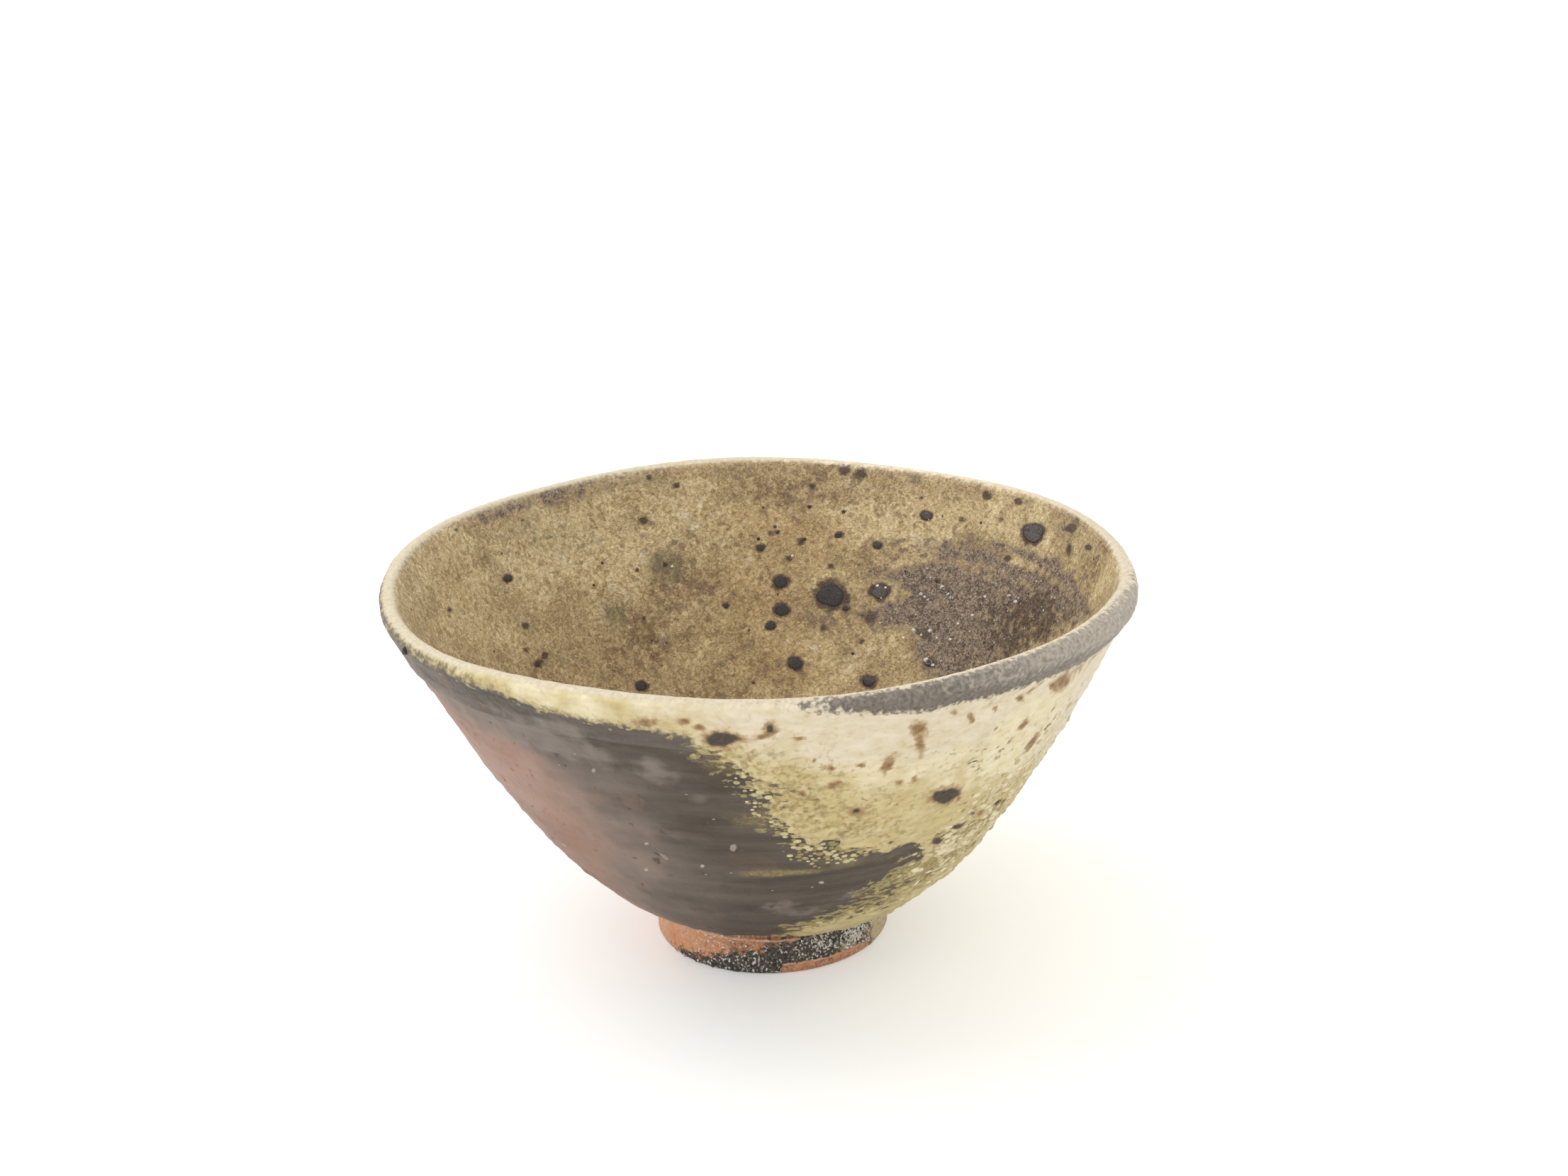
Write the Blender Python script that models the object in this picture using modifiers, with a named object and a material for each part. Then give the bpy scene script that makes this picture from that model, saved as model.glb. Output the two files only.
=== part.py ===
"""Wood-fired stoneware tea bowl, in metres, +Z up, standing on its foot at z = 0.

The bowl is a thrown clay wall with a foot ring luted under it. Glassy coats are fused to the clay:
a liner inside, a roll over the lip, a sheet of melted ash on the side that faced the fire and a crust
on the foot. Every coat is drawn on the same clay skin, so a change of the wall carries all of them.
The firing has pulled the round rim a little out of true, and one warp does that to every piece.
The front of the bowl faces -Y.
"""

import math

import bmesh
import bpy
from mathutils import Vector

# Clay wall
BOWL_HEIGHT = 0.0667  # table to the top of the glazed lip, before the warp
RIM_RADIUS = 0.0614  # clay, outside, just under the lip
LIP_THICKNESS = 0.0015
WALL_THICKNESS = 0.0042  # clay of the lower wall
FLOOR_THICKNESS = 0.0050  # clay in the middle of the floor
BELLY_POWER = 0.61  # 1 is a straight cone, and less is a fuller belly

# Foot ring
FOOT_RADIUS = 0.0202
FOOT_HEIGHT = 0.0081  # table to the underside of the clay floor
FOOT_RING_WIDTH = 0.0050
FOOT_EDGE_RADIUS = 0.0009  # worn edges of the face that it stands on

# Glassy coats
LINER_THICKNESS = 0.0005
LIP_COAT_THICKNESS = 0.0004
LIP_COAT_OUTSIDE = 0.0085  # how far the lip coat runs down outside
LIP_COAT_INSIDE = 0.0030  # and inside
ASH_THICKNESS = 0.0005
ASH_FOOT_MARGIN = 0.0040  # bare clay between the ash sheet and the foot, along the wall's height
ASH_FRONT_TOP = -112.0  # degrees round the bowl from +X, at each corner of the ash sheet
ASH_FRONT_FOOT = -68.0
ASH_BACK_TOP = 118.0
ASH_BACK_FOOT = 70.0
CRUST_THICKNESS = 0.0005
CRUST_MARGIN = 0.0006  # bare clay above and below the crust on the foot
CRUST_FROM = -122.0  # degrees round the foot
CRUST_TO = -20.0
SEAT_GAP = 0.0003  # between a piece and the one that it is fused to

# Warp of the rim: waves round the rim, height or radius change, degrees of the first crest
RIM_LIFTS = ((1, 0.0003, 180.0), (2, 0.0006, -96.0), (3, 0.0002, 73.0), (5, 0.0004, 119.0))
RIM_SPREADS = ((3, 0.0007, -158.0),)

# Facets
TURN_STEPS = 60
LOWER_WALL_POINTS = 12
COLLAR_POINTS = 3
LIP_POINTS = 5
LINER_POINTS = 7
FLOOR_POINTS = 7
EDGE_POINTS = 3
SHARP_ANGLE = math.radians(40)

SEAT_HEIGHT = FOOT_HEIGHT + SEAT_GAP
LIP_COAT_REACH = SEAT_GAP + LIP_COAT_THICKNESS  # from the clay to the outside of the lip coat
LIP_RISE = 0.7 * LIP_THICKNESS  # the lip leans out, so its round rises more than half its thickness
SHOULDER_HEIGHT = BOWL_HEIGHT - LIP_COAT_REACH - LIP_RISE  # where the lip starts to round over
WALL_RISE = SHOULDER_HEIGHT - SEAT_HEIGHT
WALL_FLARE = RIM_RADIUS - FOOT_RADIUS
FLOOR_CURVE_START = 0.5  # share of the wall's sweep, below which the inside rounds into the floor


def clear_scene():
    for old in list(bpy.data.objects):
        bpy.data.objects.remove(old)


# Clay skin: (radius, height) points, and the direction that points out of the clay


def outside_at(sweep):
    """A point of the outer wall, from the foot at 0 to the shoulder at 1."""
    rise = sweep * sweep
    return Vector((FOOT_RADIUS + WALL_FLARE * rise**BELLY_POWER, SEAT_HEIGHT + WALL_RISE * rise))


def outside_normal_at(sweep):
    along = Vector((2 * BELLY_POWER * WALL_FLARE * sweep ** (2 * BELLY_POWER - 1), 2 * WALL_RISE * sweep))
    return Vector((along.y, -along.x)).normalized()


def sweep_at_height(height):
    return math.sqrt((height - SEAT_HEIGHT) / WALL_RISE)


def inside_at(sweep):
    """A point of the inner wall: the clay thins from the lower wall to the lip."""
    thickness = LIP_THICKNESS + (WALL_THICKNESS - LIP_THICKNESS) * (1 - sweep)
    return outside_at(sweep) - thickness * outside_normal_at(sweep)


def between(first, last, count):
    """count evenly spaced values, both ends included."""
    return [first + (last - first) * i / (count - 1) for i in range(count)]


def lip_arc():
    """The round of the lip, from the outer wall over the crest to the inner wall, ends left out."""
    centre = (outside_at(1) + inside_at(1)) / 2
    spoke = outside_at(1) - centre
    turns = between(0, math.pi, LIP_POINTS + 2)[1:-1]
    crown = Vector((-spoke.y, spoke.x))
    return [centre + spoke * math.cos(turn) + crown * math.sin(turn) for turn in turns]


def floor_curve():
    """The inside floor: a curve that leaves the wall along its slope and ends level on the axis."""
    start = inside_at(FLOOR_CURVE_START)
    step = 0.001
    slope = (inside_at(FLOOR_CURVE_START + step) - start).normalized()
    floor_height = SEAT_HEIGHT + FLOOR_THICKNESS
    corner = start - slope * (start.y - floor_height) / slope.y
    centre = Vector((0.0, floor_height))
    shares = between(0, 1, FLOOR_POINTS + 1)[1:]
    return [start * (1 - u) ** 2 + corner * 2 * u * (1 - u) + centre * u * u for u in shares]


def clay_skin():
    """The skin from the foot, up the outside, over the lip and down inside to the axis, by stretches."""
    coat_edge = sweep_at_height(BOWL_HEIGHT - LIP_COAT_OUTSIDE)
    below_edge = sweep_at_height(BOWL_HEIGHT - LIP_COAT_OUTSIDE - SEAT_GAP)
    inner_edge = sweep_at_height(BOWL_HEIGHT - LIP_COAT_INSIDE)
    below_inner = sweep_at_height(BOWL_HEIGHT - LIP_COAT_INSIDE - SEAT_GAP)
    return {
        "lower_wall": [outside_at(s) for s in between(0, below_edge, LOWER_WALL_POINTS)],
        "collar": [outside_at(s) for s in between(coat_edge, 1, COLLAR_POINTS)],
        "lip": lip_arc(),
        "inner_collar": [inside_at(s) for s in between(1, inner_edge, COLLAR_POINTS)],
        "liner": [inside_at(s) for s in between(below_inner, FLOOR_CURVE_START, LINER_POINTS)],
        "floor": floor_curve(),
    }


def normals_along(path):
    """The direction out of the clay at each point of the skin. The last point is on the axis."""
    found = []
    for i, point in enumerate(path):
        along = path[min(i + 1, len(path) - 1)] - path[max(i - 1, 0)]
        found.append(Vector((along.y, -along.x)).normalized())
    found[-1] = Vector((0.0, 1.0))
    return found


def skin_stretch(*names):
    """The points and normals of neighbouring stretches of the clay skin."""
    skin = clay_skin()
    path = [point for stretch in skin.values() for point in stretch]
    normals = normals_along(path)
    first = sum(len(skin[n]) for n in list(skin)[: list(skin).index(names[0])])
    last = first + sum(len(skin[n]) for n in names)
    return path[first:last], normals[first:last]


def raised(path, normals, distance):
    return [point + normal * distance for point, normal in zip(path, normals)]


# Building: a profile is turned round Z, then the warp is given to its points


def warped(place):
    """The place of a point after the firing. The foot stays flat and true."""
    angle = math.atan2(place.y, place.x)
    share = (place.z / BOWL_HEIGHT) ** 2
    lift = sum(size * math.cos(n * angle - math.radians(crest)) for n, size, crest in RIM_LIFTS)
    spread = sum(size * math.cos(n * angle - math.radians(crest)) for n, size, crest in RIM_SPREADS)
    wider = 1 + spread * share / RIM_RADIUS
    return Vector((place.x * wider, place.y * wider, place.z + lift * share))


def profile_object(name, points, closed):
    mesh = bpy.data.meshes.new(name)
    edges = [(i, i + 1) for i in range(len(points) - 1)]
    if closed:
        edges.append((len(points) - 1, 0))
    mesh.from_pydata([(p.x, 0.0, p.y) for p in points], edges, [])
    made = bpy.data.objects.new(name, mesh)
    bpy.context.scene.collection.objects.link(made)
    return made


def turned_mesh(name, points, closed, degrees=360.0, steps=TURN_STEPS):
    """The profile turned round Z by a Screw, as a plain mesh."""
    profile = profile_object(name, points, closed)
    turn = profile.modifiers.new("turn", "SCREW")
    turn.axis = "Z"
    turn.angle = math.radians(degrees)
    turn.steps = steps
    turn.render_steps = steps
    turn.use_merge_vertices = degrees == 360.0
    turn.merge_threshold = 0.00001
    graph = bpy.context.evaluated_depsgraph_get()
    mesh = bpy.data.meshes.new_from_object(profile.evaluated_get(graph))
    bpy.data.objects.remove(profile)
    return mesh


def finished(name, mesh, material, collection):
    """The named piece: warped, faces out, shaded smooth, in its collection."""
    for vertex in mesh.vertices:
        vertex.co = warped(vertex.co)
    shape = bmesh.new()
    shape.from_mesh(mesh)
    bmesh.ops.recalc_face_normals(shape, faces=shape.faces)
    shape.to_mesh(mesh)
    shape.free()
    mesh.shade_smooth()
    mesh.set_sharp_from_angle(angle=SHARP_ANGLE)
    mesh.materials.clear()
    mesh.materials.append(material)
    made = bpy.data.objects.new(name, mesh)
    collection.objects.link(made)
    return made


def coat_profile(stretches, thickness):
    """The closed outline of a coat that lies on stretches of the skin."""
    path, normals = skin_stretch(*stretches)
    back = raised(path, normals, SEAT_GAP)
    face = raised(path, normals, SEAT_GAP + thickness)
    return face, back


def sheet_piece(name, points, corner_angles, thickness, steps, material, collection):
    """A thin sheet on part of the turn. corner_angles are its two edges, in degrees, at a share of its
    height from 0 at the first point to 1 at the last."""
    mesh = turned_mesh(name, points, closed=False, degrees=180.0, steps=steps)
    low, high = points[0].y, points[-1].y
    for vertex in mesh.vertices:
        across = abs(math.atan2(vertex.co.y, vertex.co.x)) / math.pi
        from_angle, to_angle = corner_angles((vertex.co.z - low) / (high - low))
        angle = math.radians(from_angle + (to_angle - from_angle) * across)
        radius = math.hypot(vertex.co.x, vertex.co.y)
        vertex.co = Vector((radius * math.cos(angle), radius * math.sin(angle), vertex.co.z))
    made = finished(name, mesh, material, collection)
    outward = made.data.polygons[0].normal.dot(made.data.polygons[0].center) > 0
    thicken = made.modifiers.new("thickness", "SOLIDIFY")
    thicken.thickness = thickness
    thicken.offset = 1.0 if outward else -1.0
    return made


# Materials: colour, roughness


def material(name, colour, roughness):
    made = bpy.data.materials.new(name)
    made.use_nodes = True
    shader = made.node_tree.nodes["Principled BSDF"]
    shader.inputs["Base Color"].default_value = (*colour, 1.0)
    shader.inputs["Roughness"].default_value = roughness
    shader.inputs["Metallic"].default_value = 0.0
    return made


# Pieces


def bowl_wall(collection):
    """The thrown clay, from the level seat over the foot ring to the lip and the floor inside."""
    path, _ = skin_stretch(*clay_skin())
    outline = [*reversed(path), Vector((0.0, SEAT_HEIGHT))]
    mesh = turned_mesh("bowl_wall", outline, closed=False)
    return finished("bowl_wall", mesh, material("fired_stoneware", (0.16, 0.11, 0.09), 0.65), collection)


def rounded_corner(corner, towards_start, towards_end, radius):
    """Points of an arc of that radius in a square corner."""
    centre = corner + (towards_start + towards_end) * radius
    turns = between(0, math.pi / 2, EDGE_POINTS)
    return [centre - (towards_end * math.cos(t) + towards_start * math.sin(t)) * radius for t in turns]


def foot_ring(collection):
    """The ring that the bowl stands on, luted to the floor, with worn edges below."""
    inner_radius = FOOT_RADIUS - FOOT_RING_WIDTH
    up, out = Vector((0.0, 1.0)), Vector((1.0, 0.0))
    outer_edge = rounded_corner(Vector((FOOT_RADIUS, 0.0)), up, -out, FOOT_EDGE_RADIUS)
    inner_edge = rounded_corner(Vector((inner_radius, 0.0)), out, up, FOOT_EDGE_RADIUS)
    outline = [
        Vector((inner_radius, FOOT_HEIGHT)),
        Vector((FOOT_RADIUS, FOOT_HEIGHT)),
        *outer_edge,
        *inner_edge,
    ]
    mesh = turned_mesh("foot_ring", outline, closed=True)
    return finished("foot_ring", mesh, material("bare_foot_clay", (0.36, 0.13, 0.06), 0.55), collection)


def liner_glaze(collection):
    """The glaze inside the bowl, from the lip coat down to the middle of the floor."""
    face, back = coat_profile(("liner", "floor"), LINER_THICKNESS)
    outline = [*reversed(face), *back]
    mesh = turned_mesh("liner_glaze", outline, closed=False)
    return finished("liner_glaze", mesh, material("ash_liner", (0.33, 0.24, 0.13), 0.5), collection)


def lip_glaze(collection):
    """The glaze roll over the lip."""
    face, back = coat_profile(("collar", "lip", "inner_collar"), LIP_COAT_THICKNESS)
    outline = [*reversed(face), *back]
    mesh = turned_mesh("lip_glaze", outline, closed=True)
    return finished("lip_glaze", mesh, material("lip_coat", (0.42, 0.36, 0.27), 0.55), collection)


def ash_glaze(collection):
    """The sheet of melted ash on the wall that faced the fire."""
    path, normals = skin_stretch("lower_wall")
    clear_of_foot = SEAT_HEIGHT + ASH_FOOT_MARGIN
    on_wall = [p for p in raised(path, normals, SEAT_GAP) if p.y > clear_of_foot]

    def corner_angles(share):
        from_angle = ASH_FRONT_FOOT + (ASH_FRONT_TOP - ASH_FRONT_FOOT) * share
        return from_angle, ASH_BACK_FOOT + (ASH_BACK_TOP - ASH_BACK_FOOT) * share

    finish = material("fused_ash", (0.55, 0.46, 0.24), 0.45)
    return sheet_piece(
        "ash_glaze", on_wall, corner_angles, ASH_THICKNESS, TURN_STEPS, finish, collection
    )


def foot_crust(collection):
    """The crust of fused cinders on the front of the foot ring. It stays clear of the table."""
    radius = FOOT_RADIUS + SEAT_GAP
    low = FOOT_EDGE_RADIUS + CRUST_MARGIN
    heights = between(low, FOOT_HEIGHT - CRUST_MARGIN, EDGE_POINTS)
    on_foot = [Vector((radius, height)) for height in heights]
    finish = material("cinder_crust", (0.05, 0.045, 0.045), 0.3)
    return sheet_piece(
        "foot_crust",
        on_foot,
        lambda share: (CRUST_FROM, CRUST_TO),
        CRUST_THICKNESS,
        TURN_STEPS // 3,
        finish,
        collection,
    )


def main():
    clear_scene()
    collection = bpy.data.collections.new("tea_bowl")
    bpy.context.scene.collection.children.link(collection)
    for piece in (bowl_wall, foot_ring, liner_glaze, lip_glaze, ash_glaze, foot_crust):
        piece(collection)


main()
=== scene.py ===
# %% [markdown]
# # A wood-fired tea bowl
# The bowl is stoneware clay that a wood kiln has finished by itself. Ash flew in with the flame, melted on
# whatever faced the fire and ran. The side away from it only flashed to orange and smoke grey. So the bowl
# has one simple form and a very uneven skin, and nearly all of the work is in that skin. The frame comes
# first: the turned solids of the bowl, in metres, with the foot on z = 0.

# %% Frame
import functools
import itertools
import math

import bmesh
import bpy
import numpy as np
from mathutils import Matrix, Vector
from mathutils.bvhtree import BVHTree


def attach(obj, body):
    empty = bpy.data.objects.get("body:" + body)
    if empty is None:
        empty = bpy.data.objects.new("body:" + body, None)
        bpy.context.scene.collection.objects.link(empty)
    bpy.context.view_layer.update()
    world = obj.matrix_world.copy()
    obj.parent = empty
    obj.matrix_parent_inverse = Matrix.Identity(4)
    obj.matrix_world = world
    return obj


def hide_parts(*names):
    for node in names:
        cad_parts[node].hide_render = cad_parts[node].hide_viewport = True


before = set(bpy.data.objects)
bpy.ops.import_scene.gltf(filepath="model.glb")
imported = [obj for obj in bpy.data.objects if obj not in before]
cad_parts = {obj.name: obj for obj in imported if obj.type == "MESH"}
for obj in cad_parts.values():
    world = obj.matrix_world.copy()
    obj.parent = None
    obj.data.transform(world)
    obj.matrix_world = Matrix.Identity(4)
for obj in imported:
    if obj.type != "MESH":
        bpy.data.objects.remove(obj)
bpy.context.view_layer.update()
MM = 0.001

# %% [markdown]
# ## Two small tools
# Colours are written as sRGB hex values, the way a colour picker shows them, and a shader wants them
# linear. The second tool adds a shader node, sets it and links it in one line.


# %% Colours and nodes
def colour(code):
    """Linear RGBA of an sRGB hex value."""
    parts = [int(code[i : i + 2], 16) / 255 for i in (1, 3, 5)]
    linear = [c / 12.92 if c <= 0.04045 else ((c + 0.055) / 1.055) ** 2.4 for c in parts]
    return (*linear, 1.0)


def add_node(tree, kind, inputs=None, **settings):
    """A new node with its settings, and with values, hex colours or links on its inputs."""
    made = tree.nodes.new(kind)
    for key, value in settings.items():
        setattr(made, key, value)
    for key, value in (inputs or {}).items():
        if isinstance(value, bpy.types.NodeSocket):
            tree.links.new(value, made.inputs[key])
        else:
            hexed = isinstance(value, str) and value.startswith("#")
            made.inputs[key].default_value = colour(value) if hexed else value
    return made


print("cream is", [round(c, 3) for c in colour("#E8DCC2")])

# %% [markdown]
# ## Camera
# The camera stands a third of a metre in front of the bowl and looks down into it. Its place, tilt and
# slight roll were fitted to the outline of the rim and the foot. The same camera later places marks: a
# pixel of the picture gives a ray, and the ray meets the bowl where the mark belongs.

# %% Camera
PHOTO_SIZE = (2212, 1659)
CAMERA_PLACE = (0.00377, -0.3433, 0.1839)
CAMERA_DOWN = math.radians(19.58)
CAMERA_ROLL = math.radians(-1.82)
LENS_MM = 50.0
SENSOR_MM = 36.0

camera_data = bpy.data.cameras.new("camera")
camera_data.lens = LENS_MM
camera_data.sensor_width = SENSOR_MM
camera_data.clip_start = 0.01
camera = bpy.data.objects.new("camera", camera_data)
bpy.context.scene.collection.objects.link(camera)
camera_pose = (
    Matrix.Translation(CAMERA_PLACE)
    @ Matrix.Rotation(math.pi / 2 - CAMERA_DOWN, 4, "X")
    @ Matrix.Rotation(CAMERA_ROLL, 4, "Z")
)
camera.matrix_world = camera_pose
bpy.context.scene.camera = camera


def photo_ray(pixel):
    """The direction from the camera through a pixel of the picture."""
    scale = SENSOR_MM / LENS_MM / PHOTO_SIZE[0]
    across = (pixel[0] - PHOTO_SIZE[0] / 2) * scale
    up = (PHOTO_SIZE[1] / 2 - pixel[1]) * scale
    return (camera_pose.to_3x3() @ Vector((across, up, -1.0))).normalized()


print("camera looks along", [round(v, 3) for v in photo_ray((PHOTO_SIZE[0] / 2, PHOTO_SIZE[1] / 2))])

# %% [markdown]
# ## Clay form
# A thrown bowl is a curve turned round an axis. The curve here is the clay's skin: from the foot up the
# outside, over the round lip and down inside to the middle of the floor. Every coat lies on that skin, so a
# place on the bowl is an angle, a length along the skin and a lift off the clay. The fire has warped the
# rim a little, and one function gives that warp to everything. The sizes are those of the solids, in
# millimetres.

# %% Clay form
BOWL_HEIGHT = 66.7
RIM_RADIUS = 61.4
LIP_THICKNESS = 1.5
WALL_THICKNESS = 4.2
FLOOR_THICKNESS = 5.0
BELLY_POWER = 0.61
FOOT_RADIUS = 20.2
FOOT_HEIGHT = 8.1
FOOT_RING_WIDTH = 5.0
FOOT_EDGE_RADIUS = 0.9
SEAT_GAP = 0.3
LINER_LIFT = SEAT_GAP + 0.5
LIP_LIFT = SEAT_GAP + 0.4
ASH_LIFT = SEAT_GAP + 0.5
LIP_COAT_OUTSIDE = 8.5
LIP_COAT_INSIDE = 3.0
RIM_LIFTS = ((1, 0.3, 180.0), (2, 0.6, -96.0), (3, 0.2, 73.0), (5, 0.4, 119.0))
RIM_SPREADS = ((3, 0.7, -158.0),)

SEAT_HEIGHT = FOOT_HEIGHT + SEAT_GAP
WALL_RISE = BOWL_HEIGHT - LIP_LIFT - 0.7 * LIP_THICKNESS - SEAT_HEIGHT
WALL_FLARE = RIM_RADIUS - FOOT_RADIUS
print("the wall rises", round(WALL_RISE, 1), "mm and flares", round(WALL_FLARE, 1), "mm")

# %% Clay skin
FLOOR_START = 0.5
OUTSIDE_STEPS, LIP_STEPS, INSIDE_STEPS, FLOOR_STEPS = 500, 80, 400, 300


def wall_outside(sweep):
    rise = sweep**2
    return np.stack([FOOT_RADIUS + WALL_FLARE * rise**BELLY_POWER, SEAT_HEIGHT + WALL_RISE * rise], -1)


def wall_inside(sweep):
    flare = 2 * BELLY_POWER * WALL_FLARE * sweep ** (2 * BELLY_POWER - 1)
    out = np.stack([2 * WALL_RISE * sweep, -flare], -1)
    out /= np.linalg.norm(out, axis=-1, keepdims=True)
    thickness = LIP_THICKNESS + (WALL_THICKNESS - LIP_THICKNESS) * (1 - sweep)
    return wall_outside(sweep) - thickness[..., None] * out


def clay_skin():
    """The skin as (radius, height) points, close enough together to read between."""
    outside = wall_outside(np.linspace(0, 1, OUTSIDE_STEPS))
    inside = wall_inside(np.linspace(1, FLOOR_START, INSIDE_STEPS))
    centre = (outside[-1] + inside[0]) / 2
    spoke = outside[-1] - centre
    turn = np.linspace(0, math.pi, LIP_STEPS)[1:-1, None]
    lip = centre + spoke * np.cos(turn) + np.array([-spoke[1], spoke[0]]) * np.sin(turn)
    start, slope = inside[-1], inside[-1] - inside[-2]
    floor_height = SEAT_HEIGHT + FLOOR_THICKNESS
    corner = start + slope * (floor_height - start[1]) / slope[1]
    u = np.linspace(0, 1, FLOOR_STEPS)[1:, None]
    floor = start * (1 - u) ** 2 + corner * 2 * u * (1 - u) + np.array([0.0, floor_height]) * u**2
    return np.concatenate([outside, lip, inside, floor]), len(outside) - 1, len(outside) + len(lip)


SKIN, SHOULDER_ROW, INSIDE_ROW = clay_skin()
SKIN_LENGTH = np.concatenate([[0], np.cumsum(np.linalg.norm(np.diff(SKIN, axis=0), axis=1))])
SKIN_SLOPE = np.gradient(SKIN, SKIN_LENGTH, axis=0)
SKIN_OUT = np.stack([SKIN_SLOPE[:, 1], -SKIN_SLOPE[:, 0]], -1)
SKIN_OUT /= np.linalg.norm(SKIN_OUT, axis=1, keepdims=True)
SKIN_OUT[-1] = (0, 1)

CREST = SKIN_LENGTH[np.argmax(SKIN[:, 1])]
AXIS = SKIN_LENGTH[-1]


def along_outside(height):
    return float(np.interp(height, SKIN[: SHOULDER_ROW + 1, 1], SKIN_LENGTH[: SHOULDER_ROW + 1]))


def along_inside(height):
    rows = slice(len(SKIN) - 1, INSIDE_ROW - 1, -1)
    return float(np.interp(height, SKIN[rows, 1], SKIN_LENGTH[rows]))


COAT_EDGE = along_outside(BOWL_HEIGHT - LIP_COAT_OUTSIDE)
LINER_EDGE = along_inside(BOWL_HEIGHT - LIP_COAT_INSIDE)
print("skin is", round(AXIS, 1), "mm long, its crest at", round(CREST, 1), "mm")


# %% Places on the skin
def warped(x, y, z):
    """Points in millimetres after the warp of the firing, in metres."""
    angle = np.arctan2(y, x)
    share = (z / BOWL_HEIGHT) ** 2
    lift = sum(size * np.cos(n * angle - math.radians(crest)) for n, size, crest in RIM_LIFTS)
    spread = sum(size * np.cos(n * angle - math.radians(crest)) for n, size, crest in RIM_SPREADS)
    wider = 1 + spread * share / RIM_RADIUS
    return np.stack([x * wider, y * wider, z + lift * share], -1) * MM


def turned_place(radius, angle, height):
    """Points at a radius, an angle and a height."""
    return warped(radius * np.cos(angle), radius * np.sin(angle), height)


def skin_radius(along):
    return np.interp(along, SKIN_LENGTH, SKIN[:, 0])


def skin_place(angle, along, lift):
    """Points at an angle, a length along the skin and a lift off the clay."""
    out_r = np.interp(along, SKIN_LENGTH, SKIN_OUT[:, 0])
    out_z = np.interp(along, SKIN_LENGTH, SKIN_OUT[:, 1])
    radius = np.maximum(skin_radius(along) + lift * out_r, 0.0)
    height = np.interp(along, SKIN_LENGTH, SKIN[:, 1]) + lift * out_z
    return turned_place(radius, angle, height)


def skin_mm(angle, along, lift=0.0):
    """The same points in millimetres, for noise."""
    return skin_place(angle, along, lift) / MM


print("the crest in front is at", skin_mm(-math.pi / 2, CREST).round(1).tolist(), "mm")

# %% [markdown]
# ## Finding a mark on the bowl
# A coarse copy of the skin is enough to catch a camera ray. The hit gives the angle and the length along
# the skin of a pixel, and the distance gives how many millimetres that pixel is wide there.


# %% Marks from pixels
def ring_angles(count):
    return np.linspace(0, 2 * math.pi, count, endpoint=False)


CATCH_COUNT = 240
CATCH_LIFT = 0.6
CATCH_ANGLES = ring_angles(CATCH_COUNT)
CATCH_ALONG = np.linspace(0, AXIS, CATCH_COUNT)
TEST_PIXEL = (1172, 840)
catch_points = skin_place(CATCH_ANGLES[None, :], CATCH_ALONG[:, None], CATCH_LIFT).reshape(-1, 3)


def ring_faces(rows, columns):
    """Quads between neighbouring rows of a turned grid."""
    row, column = np.meshgrid(np.arange(rows - 1), np.arange(columns), indexing="ij")
    low, high, after = row * columns, (row + 1) * columns, (column + 1) % columns
    return np.stack([low + column, low + after, high + after, high + column], -1).reshape(-1, 4)


catch_tree = BVHTree.FromPolygons(catch_points.tolist(), ring_faces(CATCH_COUNT, CATCH_COUNT).tolist())


def mark_at(pixel):
    """Angle, length along the skin, and millimetres per pixel, where the picture shows this pixel."""
    hit, _, face, distance = catch_tree.ray_cast(Vector(CAMERA_PLACE), photo_ray(pixel))
    angle = math.atan2(hit.y, hit.x)
    row = face // CATCH_COUNT
    near = CATCH_ALONG[row : row + 2]
    ends = skin_place(np.array([angle, angle]), near, CATCH_LIFT)
    span = ends[1] - ends[0]
    share = np.dot(np.array(hit) - ends[0], span) / np.dot(span, span)
    along = float(near[0] + np.clip(share, 0, 1) * (near[1] - near[0]))
    return angle, along, distance / MM * SENSOR_MM / LENS_MM / PHOTO_SIZE[0]


def marks_along(pixels):
    """The angles and the lengths along the skin of a line of pixels."""
    found = np.array([mark_at(pixel)[:2] for pixel in pixels])
    return found[:, 0], found[:, 1]


print("a pixel inside the bowl:", [round(v, 3) for v in mark_at(TEST_PIXEL)])

# %% [markdown]
# ## Noise
# Nothing on this bowl has a clean edge. One smooth noise, summed at a few sizes, roughens outlines and
# surfaces. It is read at points in space, so it has no seam. A second form is drawn out round the bowl,
# because a potter's fingers and tools leave marks that follow the turn.


# %% Noise
NOISE_CELLS = 32
NOISE_SHIFT = 100.0
TURN_RADIUS = 45.0


@functools.cache
def noise_table(seed):
    return np.random.default_rng(seed).uniform(-1, 1, (NOISE_CELLS, NOISE_CELLS, NOISE_CELLS))


def soft_noise(points, size, seed):
    """Smooth noise from -1 to 1, with bumps about size apart."""
    table = noise_table(seed)
    place = points / size + NOISE_SHIFT
    cell = np.floor(place).astype(int)
    share = place - cell
    share = share * share * (3 - 2 * share)
    total = 0.0
    for corner in itertools.product((0, 1), repeat=3):
        weight = np.prod(np.where(corner, share, 1 - share), axis=-1)
        index = (cell + corner) % NOISE_CELLS
        total = total + weight * table[index[..., 0], index[..., 1], index[..., 2]]
    return total


def rough_noise(points, size, seed, octaves=3):
    """Noise at a size and at ever finer sizes below it."""
    return sum(soft_noise(points, size / 2**i, seed + i) / 2**i for i in range(octaves))


def turned_noise(angle, along, size, seed, stretch=10.0):
    """Noise that is drawn out round the bowl, like the marks of throwing."""
    ring = TURN_RADIUS / stretch
    points = np.stack(np.broadcast_arrays(ring * np.cos(angle), ring * np.sin(angle), along + 0 * angle), -1)
    return soft_noise(points, size, seed)


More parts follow.
